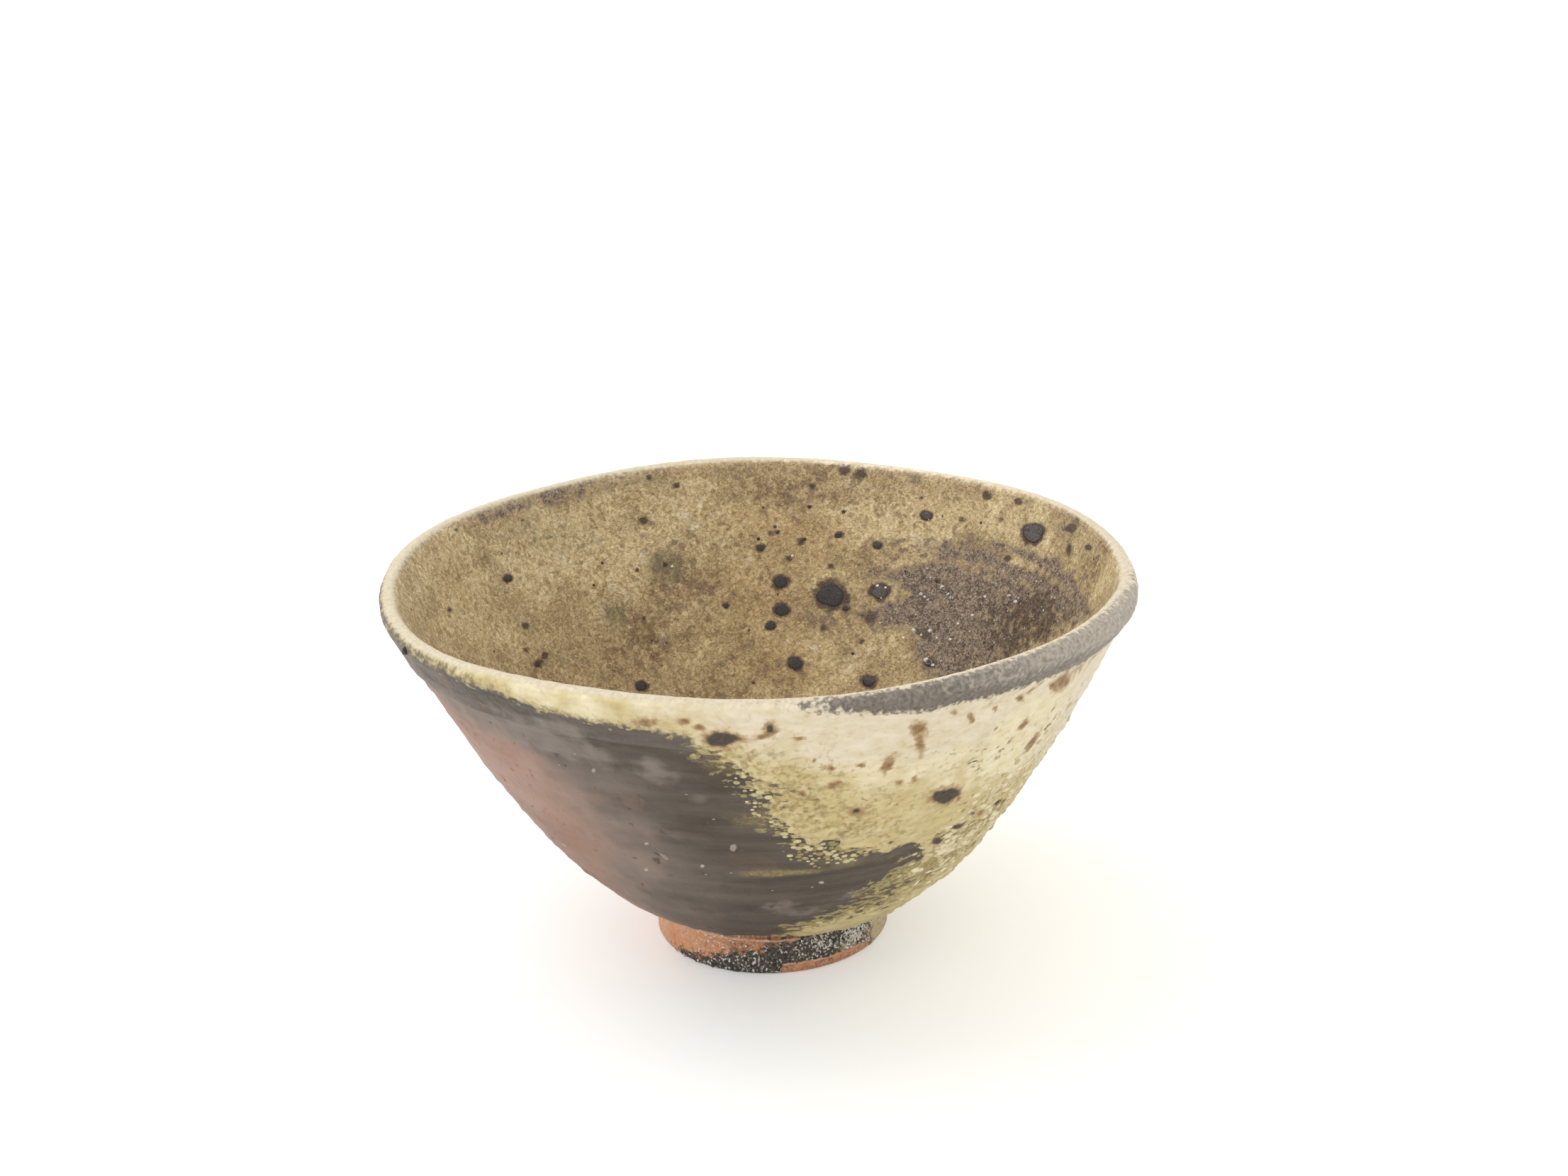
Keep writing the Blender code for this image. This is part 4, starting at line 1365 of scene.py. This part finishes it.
ASH_FROM = math.radians(-128)
ASH_TO = math.radians(128)
ASH_STEP = 0.46
ASH_STEP_RADIUS = 60.0
ASH_FOOT_END = 1.5

ash_angles = spaced(ASH_FROM, ASH_TO, ASH_STEP / ASH_STEP_RADIUS)
ash_grid = grid_of(ash_angles, spaced(ASH_FOOT_END, COAT_EDGE + 4.5, ASH_STEP))
ash_back = skin_place(*grid_of(ash_angles, spaced(COAT_EDGE + 4.5, ASH_FOOT_END, 6.0)), ASH_BACK)
ash_points = np.concatenate([skin_place(*ash_grid, ash_lift(*ash_grid)), ash_back])
ash = finished(
    "melted_ash_sheet", ash_points, sheet_faces(len(ash_grid[0]), len(ash_back), len(ash_angles)),
    padded(ash_zones(*ash_grid, ash_relief(*ash_grid)), 0, len(ash_back)), ash_finish,
    ["ash_glaze"],
)

# %% [markdown]
# ## Foot ring
# The foot was turned with a tool, so it has a crisp wall, a fine line under the bowl and worn edges below.
# The little ridge of that line is painted pale, a painted highlight. Ash vapour left the front of it lumpy
# and shiny.

# %% Foot outline
WALL_ROWS, EDGE_ROWS, SOLE_ROWS, INNER_ROWS = 36, 7, 12, 14


def foot_profile():
    """The foot's outline, from its top outside, down and under to its top inside."""
    inner, edge = FOOT_RADIUS - FOOT_RING_WIDTH, FOOT_EDGE_RADIUS
    turn = np.linspace(0, math.pi / 2, EDGE_ROWS)
    outer_wall = np.stack([np.full(WALL_ROWS, FOOT_RADIUS), np.linspace(SEAT_HEIGHT, edge, WALL_ROWS)], -1)
    outer_edge = np.stack([FOOT_RADIUS - edge + edge * np.cos(turn), edge - edge * np.sin(turn)], -1)
    sole = np.stack([np.linspace(FOOT_RADIUS - edge, inner + edge, SOLE_ROWS), np.zeros(SOLE_ROWS)], -1)
    inner_edge = np.stack([inner + edge - edge * np.sin(turn), edge - edge * np.cos(turn)], -1)
    inner_wall = np.stack([np.full(INNER_ROWS, inner), np.linspace(edge, SEAT_HEIGHT, INNER_ROWS)], -1)
    return np.concatenate([outer_wall, outer_edge[1:], sole[1:], inner_edge[1:], inner_wall[1:]])


foot_outline = foot_profile()
print("foot outline has", len(foot_outline), "points")

# %% Foot ring
FOOT_COLUMNS = 500
RIDGE_HEIGHT, GROOVE_HEIGHT = 6.6, 7.3
CRUST_HEIGHTS = (0.2, 1.2, 2.2, 4.2, 5.8, 7.1, 8.0)
CRUST_TURNS = (-139, -136, -121, -99, -90, -84, -80)
FLAKE_TURN, FLAKE_HALF, FLAKE_HEIGHT = -62.0, 26.0, 2.1
VAPOUR = ((-170, -140, -20, 20), (0, 1, 1, 0))
FOOT_BROWN = ((-150, -132, -105, -60, 20, 60), (0, 0.4, 0.9, 0.9, 0.5, 0))
FOOT_CREAM = ((-42, -30, 40, 90), (0, 1.0, 0.6, 0))
FOOT_GLINTS = ((-150, -130, -112, -92), (0.1, 1, 1, 0))


def crust_start(height):
    """The turn in degrees at which the crust of cinders starts, on a slant."""
    return np.interp(height, CRUST_HEIGHTS, CRUST_TURNS)


foot_a, foot_r = grid_of(ring_angles(FOOT_COLUMNS), foot_outline[:, 0])
foot_z = grid_of(ring_angles(FOOT_COLUMNS), foot_outline[:, 1])[1]
foot_raw = np.stack([foot_r * np.cos(foot_a), foot_r * np.sin(foot_a), foot_z], -1)
foot_turn = turn_degrees(foot_a)
vapour = np.interp(foot_turn, *VAPOUR)
outside = foot_r > FOOT_RADIUS - 0.5
ridge = hump(foot_z, RIDGE_HEIGHT, 0.3) * outside
groove = 0.25 * ridge - 0.3 * hump(foot_z, GROOVE_HEIGHT, 0.35) * outside
in_flake = 1 - ease(np.abs(foot_turn - FLAKE_TURN), FLAKE_HALF - 3, FLAKE_HALF)
in_flake = in_flake * (1 - ease(foot_z, FLAKE_HEIGHT - 0.1, FLAKE_HEIGHT + 0.2)) * outside
flake_edge = in_flake * hump(foot_z, FLAKE_HEIGHT - 0.15, 0.25)
foot_lumps = 0.12 * rough_noise(foot_raw, 3.0, 51) + 0.18 * vapour * rough_noise(foot_raw, 1.1, 54, 2)
foot_out = foot_r + (foot_lumps + groove) * ease(foot_z, 0.2, 1.2)
foot_points = turned_place(foot_out, foot_a, foot_z)
foot_cinder = np.clip(0.82 + (foot_turn - crust_start(foot_z)) / 39.0, 0, 0.95)
foot_cinder = foot_cinder * (1 - ease(foot_turn, -45, -30)) * outside * (1 - in_flake)
foot_values = {
    "cinder": foot_cinder,
    "brown": np.interp(foot_turn, *FOOT_BROWN),
    "cream": np.interp(foot_turn, *FOOT_CREAM),
    # Worn sole and pale flake edge, and the ridge under the bowl painted pale as a highlight.
    "pale_and_highlight": np.maximum((0.8 - 0.6 * vapour) * ease(-foot_z, -2.0, -0.3), 0.9 * np.maximum(ridge, flake_edge)),
    "glints": np.interp(foot_turn, *FOOT_GLINTS) * outside * ease(foot_z, 1.2, 2.6),
}
foot = finished(
    "foot_ring_clay", foot_points, stack_faces(len(foot_points), FOOT_COLUMNS, looped=True), foot_values,
    foot_finish, ["foot_ring"],
)

# %% [markdown]
# ## Cinder crust
# Cinders fused to the front and right of the foot. The crust is a lumpy sheet like the ash. It starts on a
# slant at the left, and low on the right a flake has come off and shows the orange clay.

# %% Cinder crust
CRUST_FROM = math.radians(-150)
CRUST_TO = math.radians(-28)
CRUST_STEP = 0.17
CRUST_BOTTOM = 0.15
CRUST_TOP = FOOT_HEIGHT - 0.2
CRUST_SUNK = 0.7
# Two turns where the crust's silver flecks and painted glints are strongest.
CRUST_BRIGHT = ((-68, 6, 0.9), (-47, 8, 2.0))

crust_angles = spaced(CRUST_FROM, CRUST_TO, CRUST_STEP / FOOT_RADIUS)
crust_a, crust_z = grid_of(crust_angles, spaced(CRUST_BOTTOM, CRUST_TOP, CRUST_STEP))
crust_raw = np.stack([FOOT_RADIUS * np.cos(crust_a), FOOT_RADIUS * np.sin(crust_a), crust_z], -1)
crust_turn = np.degrees(crust_a)
flake = np.minimum((FLAKE_HALF - np.abs(crust_turn - FLAKE_TURN)) / 1.5, 6.0 * (FLAKE_HEIGHT - crust_z))
crust_right = (math.degrees(CRUST_TO) - 4 - crust_turn) / 3.0
crust_ends = np.minimum((crust_turn - crust_start(crust_z)) / 9.0, crust_right)
crust_depth = np.minimum(np.minimum(crust_ends, -flake), 3.0 * (crust_z - CRUST_BOTTOM - 0.1))
crust_depth = np.minimum(crust_depth, 2.5) + 1.4 * rough_noise(crust_raw, 1.3, 61, 3)
crust_cover = np.sqrt(np.clip(crust_depth / 1.2, 0, 1)) - ease(-crust_depth, 0, 1.0)
crust_lump = 0.2 * rough_noise(crust_raw, 1.2, 62, 3)
crust_edge = FOOT_EDGE_RADIUS - np.clip(crust_z, 0, FOOT_EDGE_RADIUS)
crust_in = FOOT_RADIUS - FOOT_EDGE_RADIUS + np.sqrt(FOOT_EDGE_RADIUS**2 - crust_edge**2)
crust_up = 0.4 + 0.6 * ease(crust_z, 0.3, 2.0)
crust_out = crust_in + (0.4 * crust_cover + crust_lump * np.clip(crust_cover, 0, 1)) * crust_up
crust_face = turned_place(crust_out, crust_a, crust_z)
back_a, back_z = grid_of(crust_angles, spaced(CRUST_TOP, CRUST_BOTTOM, 2.0))
crust_back = turned_place(FOOT_RADIUS - CRUST_SUNK, back_a, back_z)
crust_points = np.concatenate([crust_face, crust_back])
bright = sum(share * hump(crust_turn, turn, width) for turn, width, share in CRUST_BRIGHT)
bright = bright * ease(crust_z, 2.0, 4.0)
tan_low = hump(crust_turn, -52, 8) * (1 - ease(crust_z, 3.5, 5.0))
crust_values = {
    # Silver share: silvery glass and painted glints.
    "silver_and_glints": np.clip(0.25 + 1.8 * crust_lump + 0.4 * bright, 0, 1),
    "tan": tan_low + ease(crust_turn, -46, -36),
    "cinders": np.clip(crust_cover, 0, 1) * (0.5 + 0.5 * bright),
}
crust = finished(
    "foot_cinder_crust", crust_points, sheet_faces(len(crust_face), len(crust_back), len(crust_angles)),
    padded(crust_values, 0, len(crust_back)), cinder_finish, ["foot_crust"],
)

# %% [markdown]
# ## Blisters and flecks
# Each large spot inside stands a little proud, as a low blister of iron glass. Outside, a few grains of
# feldspar have burst through the dark clay, and one black bead hangs under the lip at the far left. Bubbles
# that burst in the violet glaze are rings with a sunk middle. Beside them, and on two of the iron spots,
# small pale glossy domes stand for glints of light: painted highlights. All of these are low domes with an
# uneven outline, drawn on the coat that carries them and closed under it.

# %% Blister places
BUBBLES = (
    (1333, 833, 6), (1340, 843, 4), (1306, 841, 5), (1427, 845, 5), (1311, 934, 5), (1303, 893, 3),
    (1318, 898, 3), (1350, 887, 3), (1399, 905, 3),
)
FLECKS = (
    (934, 1213, 9, 2.5, -28), (1034, 1201, 5, 5, 0), (835, 1091, 3, 3, 0), (760, 1157, 3, 2, -20),
    (798, 1190, 4, 2, -40), (910, 1195, 3, 2, 0), (910, 1231, 3, 2, 0), (990, 1225, 3, 2, 0),
    (1160, 1250, 4, 2, 0),
)
# Small pale domes where the glaze shows glints of light: painted highlights.
GLINTS = (
    (1299, 838, 3), (1309, 846, 2), (1330, 829, 4), (1342, 843, 3), (1424, 841, 3), (1433, 849, 3),
    (1289, 889, 3), (1300, 896, 2), (1312, 890, 3), (1322, 900, 2), (1307, 931, 4), (1316, 938, 3),
    (1238, 827, 3), (1247, 838, 3), (1352, 880, 2), (1372, 868, 2), (1341, 902, 2), (1390, 842, 2),
    (1275, 900, 2), (1118, 784, 2), (948, 799, 2), (1234, 833, 2), (1243, 843, 2), (1249, 829, 2),
    (1303, 725, 2), (1310, 732, 2), (1336, 837, 3), (1304, 842, 2),
)
RIM_BEAD = ((573, 919, 4, 5, 0),)
GREY_SPOTS = (((1458, 753), 2.5, 2.5, 0.9), ((1241, 835), 2, 2, 0.9), ((1307, 728), 1.5, 1.5, 0.6))
print(len(BUBBLES), "bubbles,", len(FLECKS), "flecks and", len(GLINTS), "drops of glass")

# %% Domes
DOME_SIDES = 26
DOME_RINGS = ((0.0, 1.0), (0.35, 0.95), (0.7, 0.7), (0.92, 0.2), (1.05, -0.6), (0.0, -3.0))
CRATER_RINGS = ((0.0, -0.6), (0.45, -0.5), (0.66, 0.7), (0.84, 1.0), (1.05, 0.1), (0.0, -3.0))


def dome(spot, seed, ground, height, profile):
    """Points of one low dome on a coat, ring by ring from its top to a point under it."""
    at_angle, at_along, shape = spot
    round_it = ring_angles(DOME_SIDES)
    waves = np.random.default_rng(seed).uniform(-0.04, 0.04, (4, 2))
    outline = 1 + sum(
        a * np.cos((i + 2) * round_it) + b * np.sin((i + 2) * round_it) for i, (a, b) in enumerate(waves)
    )
    low = min(1.0, math.sqrt(abs(np.linalg.det(shape))))
    rings = []
    for share, lift in profile:
        across, up = shape @ (share * outline * np.stack([np.cos(round_it), np.sin(round_it)]))
        along = at_along + up
        angle = at_angle + across / skin_radius(along)
        rings.append(skin_place(angle, along, ground(angle, along) + lift * height * low))
    return np.stack(rings)


def domes(name, spots, ground, height, finish, slot, profile=DOME_RINGS):
    """One piece of all of the domes of a kind."""
    points = np.stack([dome(spot, i, ground, height, profile) for i, spot in enumerate(spots)])
    one = stack_faces(len(profile), DOME_SIDES, looped=False)
    faces = np.concatenate([one + i * len(profile) * DOME_SIDES for i in range(len(spots))])
    rim = np.broadcast_to(np.array([share > 0.8 for share, _ in profile])[None, :, None], points.shape[:3])
    tone = np.broadcast_to(np.linspace(0.4, 1.0, len(spots))[:, None, None], points.shape[:3])
    middles = np.array([spot[:2] for spot in spots])
    grey = np.broadcast_to(patches(*middles.T, GREY_SPOTS)[:, None, None], points.shape[:3])
    return finished(name, points, faces.tolist(), {"rim": rim, "tone": tone, "grey": grey}, finish)


print("a dome has", len(stack_faces(len(DOME_RINGS), DOME_SIDES, looped=False)), "faces")

# %% Blisters and flecks
clear_spots = [spot for spot in inside_spots if spot[1] > LINER_EDGE + 1.5]
DOMES = (
    ("iron_spot_blisters", clear_spots, liner_lift, 0.13, iron_finish, "liner_glaze"),
    ("feldspar_fleck_blisters", spot_places(FLECKS), wall_lift, 0.12, fleck_finish, "fired_clay"),
    ("liner_burst_bubbles", spot_places(BUBBLES), liner_lift, 0.3, bubble_finish, "liner_glaze",
     CRATER_RINGS),
    # Pale domes that stand for glints: painted highlights.
    ("liner_glass_drops", spot_places(GLINTS), liner_lift, 0.25, shine_finish, "liner_glaze"),
    ("rim_iron_bead", spot_places(RIM_BEAD), lip_lift, 0.7, iron_finish, "lip_glaze"),
)
for kind in DOMES:
    domes(*kind)

# %% [markdown]
# ## Scattered beads
# About two thousand tiny things lie on the coats: drops of ash along its edge, specks of iron in the liner,
# pale glints in its violet part and on the front of the foot, which are painted highlights, cinders on the
# foot, and flecks in the dark clay.
# They repeat and they follow a surface, so geometry nodes place them. One tree spreads points over a
# ground, as thickly as an attribute of the ground says, and puts a flattened ball on each, with its length
# round the bowl.


# %% Bead nodes
def bead_tree():
    """Geometry nodes that scatter flattened balls over a ground."""
    tree = bpy.data.node_groups.new("bead_scatter", "GeometryNodeTree")
    kinds = {
        "Ground": "Geometry", "Zone": "String", "Spacing": "Float", "Crowd": "Float", "Smallest": "Float",
        "Largest": "Float", "Length": "Float", "Height": "Float", "Seed": "Int", "Finish": "Material",
    }
    for key, kind in kinds.items():
        tree.interface.new_socket(key, in_out="INPUT", socket_type=f"NodeSocket{kind}")
    tree.interface.new_socket("Beads", in_out="OUTPUT", socket_type="NodeSocketGeometry")
    given = add_node(tree, "NodeGroupInput").outputs
    zone = add_node(tree, "GeometryNodeInputNamedAttribute", {"Name": given["Zone"]}, data_type="FLOAT")
    spread = {
        "Mesh": given["Ground"], "Distance Min": given["Spacing"], "Density Max": given["Crowd"],
        "Density Factor": zone.outputs["Attribute"], "Seed": given["Seed"],
    }
    points = add_node(
        tree, "GeometryNodeDistributePointsOnFaces", spread, distribute_method="POISSON"
    ).outputs
    round_bowl = {0: (0.0, 0.0, 1.0), 1: add_node(tree, "GeometryNodeInputPosition").outputs[0]}
    across = add_node(tree, "ShaderNodeVectorMath", round_bowl, operation="CROSS_PRODUCT").outputs[0]
    lie = {"Rotation": points["Rotation"], "Vector": across}
    turned = add_node(tree, "FunctionNodeAlignRotationToVector", lie, axis="X", pivot_axis="Z").outputs[0]
    limits = {2: given["Smallest"], 3: given["Largest"], 8: given["Seed"]}
    size = add_node(tree, "FunctionNodeRandomValue", limits, data_type="FLOAT").outputs[1]
    sides = {"X": given["Length"], "Y": 1.0, "Z": given["Height"]}
    shape = add_node(tree, "ShaderNodeCombineXYZ", sides).outputs[0]
    scale = add_node(tree, "ShaderNodeVectorMath", {0: shape, "Scale": size}, operation="SCALE").outputs[0]
    fineness = {"Segments": 8, "Rings": 5, "Radius": 1.0}
    ball = add_node(tree, "GeometryNodeMeshUVSphere", fineness).outputs["Mesh"]
    laid = {"Points": points["Points"], "Instance": ball, "Rotation": turned, "Scale": scale}
    beads = add_node(tree, "GeometryNodeInstanceOnPoints", laid).outputs["Instances"]
    chance = add_node(tree, "FunctionNodeRandomValue", {8: 5}, data_type="FLOAT").outputs[1]
    toned = {"Geometry": beads, "Name": "tone", "Value": chance}
    beads = add_node(
        tree, "GeometryNodeStoreNamedAttribute", toned, data_type="FLOAT", domain="INSTANCE"
    ).outputs[0]
    beads = add_node(tree, "GeometryNodeRealizeInstances", {"Geometry": beads}).outputs[0]
    dressed = {"Geometry": beads, "Material": given["Finish"]}
    beads = add_node(tree, "GeometryNodeSetMaterial", dressed).outputs[0]
    add_node(tree, "NodeGroupOutput", {"Beads": beads})
    return tree


bead_nodes = bead_tree()
print("bead tree has", len(bead_nodes.nodes), "nodes")


# %% Scattered beads
def scattered(name, ground, slot, **settings):
    """Beads over a piece, as a plain mesh that rides on the bowl. Sizes are in metres."""
    maker = bpy.data.objects.new(name + "_maker", ground.data)
    bpy.context.scene.collection.objects.link(maker)
    modifier = maker.modifiers.new("beads", "NODES")
    modifier.node_group = bead_nodes
    for socket in bead_nodes.interface.items_tree:
        if socket.name in settings:
            modifier[socket.identifier] = settings[socket.name]
    grown = maker.evaluated_get(bpy.context.evaluated_depsgraph_get())
    mesh = bpy.data.meshes.new_from_object(grown)
    bpy.data.objects.remove(maker)
    mesh.name = name
    mesh.shade_smooth()
    made = bpy.data.objects.new(name, mesh)
    bpy.context.scene.collection.objects.link(made)
    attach(made, "root")
    print(name, "has", len(mesh.polygons), "faces")
    return made


BEAD_SETTINGS = ("Zone", "Spacing", "Crowd", "Smallest", "Largest", "Length", "Height", "Seed", "Finish")
BEADS = (
    ("ash_edge_drops", bowl_wall, "ash_glaze", "drops", 0.0007, 2.5e6, 0.0002, 0.00055, 1.3, 0.4, 1,
     drop_finish),
    ("ash_peel_beads", ash, "ash_glaze", "peel", 0.0009, 0.9e6, 0.0002, 0.0006, 1.6, 0.35, 7, peel_finish),
    ("liner_iron_specks", liner, "liner_glaze", "specks", 0.0016, 0.012e6, 0.00012, 0.00042, 1.0, 0.3, 2,
     speck_finish),
    # Pale beads where the violet glaze shows glints: painted highlights.
    ("liner_glass_glints", liner, "liner_glaze", "glints", 0.0008, 0.25e6, 0.0001, 0.00024, 1.0, 0.6, 3,
     glint_finish),
    ("foot_cinder_beads", crust, "foot_crust", "cinders", 0.0004, 3.5e6, 0.00009, 0.00026, 1.0, 0.6, 4,
     cinder_bead_finish),
    ("wall_feldspar_flecks", bowl_wall, "fired_clay", "flecks", 0.004, 0.009e6, 0.00005, 0.00015, 1.8, 0.4, 5,
     fleck_finish),
    # Pale beads where the glossy foot shows glints: painted highlights.
    ("foot_glint_beads", foot, "foot_clay", "glints", 0.0004, 3.0e6, 0.00007, 0.00026, 1.2, 0.6, 6,
     foot_glint_finish),
)
for name, ground, slot, *settings in BEADS:
    scattered(name, ground, slot, **dict(zip(BEAD_SETTINGS, settings)))

# %% [markdown]
# ## Light and floor
# The bowl stands on a white sweep in soft light. The world gives an even white light, and one large lamp
# from above on the left gives the form its soft shade. The floor adds a little white that only the camera
# sees, so the shadow stays faint and the background stays white.

# %% World
WORLD_LIGHT = 0.92


def white_world():
    """A white world: full white where it is seen, and softer as light."""
    world = bpy.data.worlds.new("white_sweep")
    world.use_nodes = True
    tree = world.node_tree
    path = add_node(tree, "ShaderNodeLightPath")
    seen = path.outputs["Is Camera Ray"]
    for key in ("Is Glossy Ray", "Is Transmission Ray"):
        either = {0: seen, 1: path.outputs[key]}
        seen = add_node(tree, "ShaderNodeMath", either, operation="MAXIMUM").outputs[0]
    strength = add_node(tree, "ShaderNodeMapRange", {"Value": seen, "To Min": WORLD_LIGHT, "To Max": 1.0})
    tree.links.new(strength.outputs["Result"], tree.nodes["Background"].inputs["Strength"])
    tree.nodes["Background"].inputs["Color"].default_value = colour("#FFFFFF")
    bpy.context.scene.world = world


white_world()
print("world light", WORLD_LIGHT)

# %% Floor
FLOOR_GLOW = 0.33
FLOOR_SIZE, FLOOR_PLACE = 6.0, (0, 1.0, -0.0001)


def sweep_floor():
    """A pale floor that keeps the bowl's shadow."""
    bpy.ops.mesh.primitive_plane_add(size=FLOOR_SIZE, location=FLOOR_PLACE)
    floor = bpy.context.object
    floor.name = "floor"
    made = bpy.data.materials.new("white_paper")
    made.use_nodes = True
    tree = made.node_tree
    shader = tree.nodes["Principled BSDF"]
    shader.inputs["Base Color"].default_value = colour("#F0EFEB")
    shader.inputs["Roughness"].default_value = 0.9
    shader.inputs["Emission Color"].default_value = colour("#FFFFFF")
    seen = add_node(tree, "ShaderNodeLightPath").outputs["Is Camera Ray"]
    glow = add_node(tree, "ShaderNodeMapRange", {"Value": seen, "To Min": 0.0, "To Max": FLOOR_GLOW})
    tree.links.new(glow.outputs["Result"], shader.inputs["Emission Strength"])
    floor.data.materials.append(made)


sweep_floor()
print("floor", FLOOR_SIZE, "m wide")

# %% Lamp
LAMP_PLACE, LAMP_AIM = (-0.45, 0.1, 0.9), (0, 0, 0.04)
LAMP_SIZE, LAMP_POWER = 0.8, 3.5


def soft_lamp(name, place, aim, size, power):
    """A square lamp that faces a point."""
    data = bpy.data.lights.new(name, "AREA")
    data.size = size
    data.energy = power
    lamp = bpy.data.objects.new(name, data)
    lamp.location = place
    lamp.rotation_euler = (Vector(aim) - Vector(place)).to_track_quat("-Z", "Y").to_euler()
    bpy.context.scene.collection.objects.link(lamp)


soft_lamp("window", LAMP_PLACE, LAMP_AIM, LAMP_SIZE, LAMP_POWER)
bpy.context.scene.view_settings.view_transform = "Standard"
print("one lamp of", LAMP_POWER, "W")
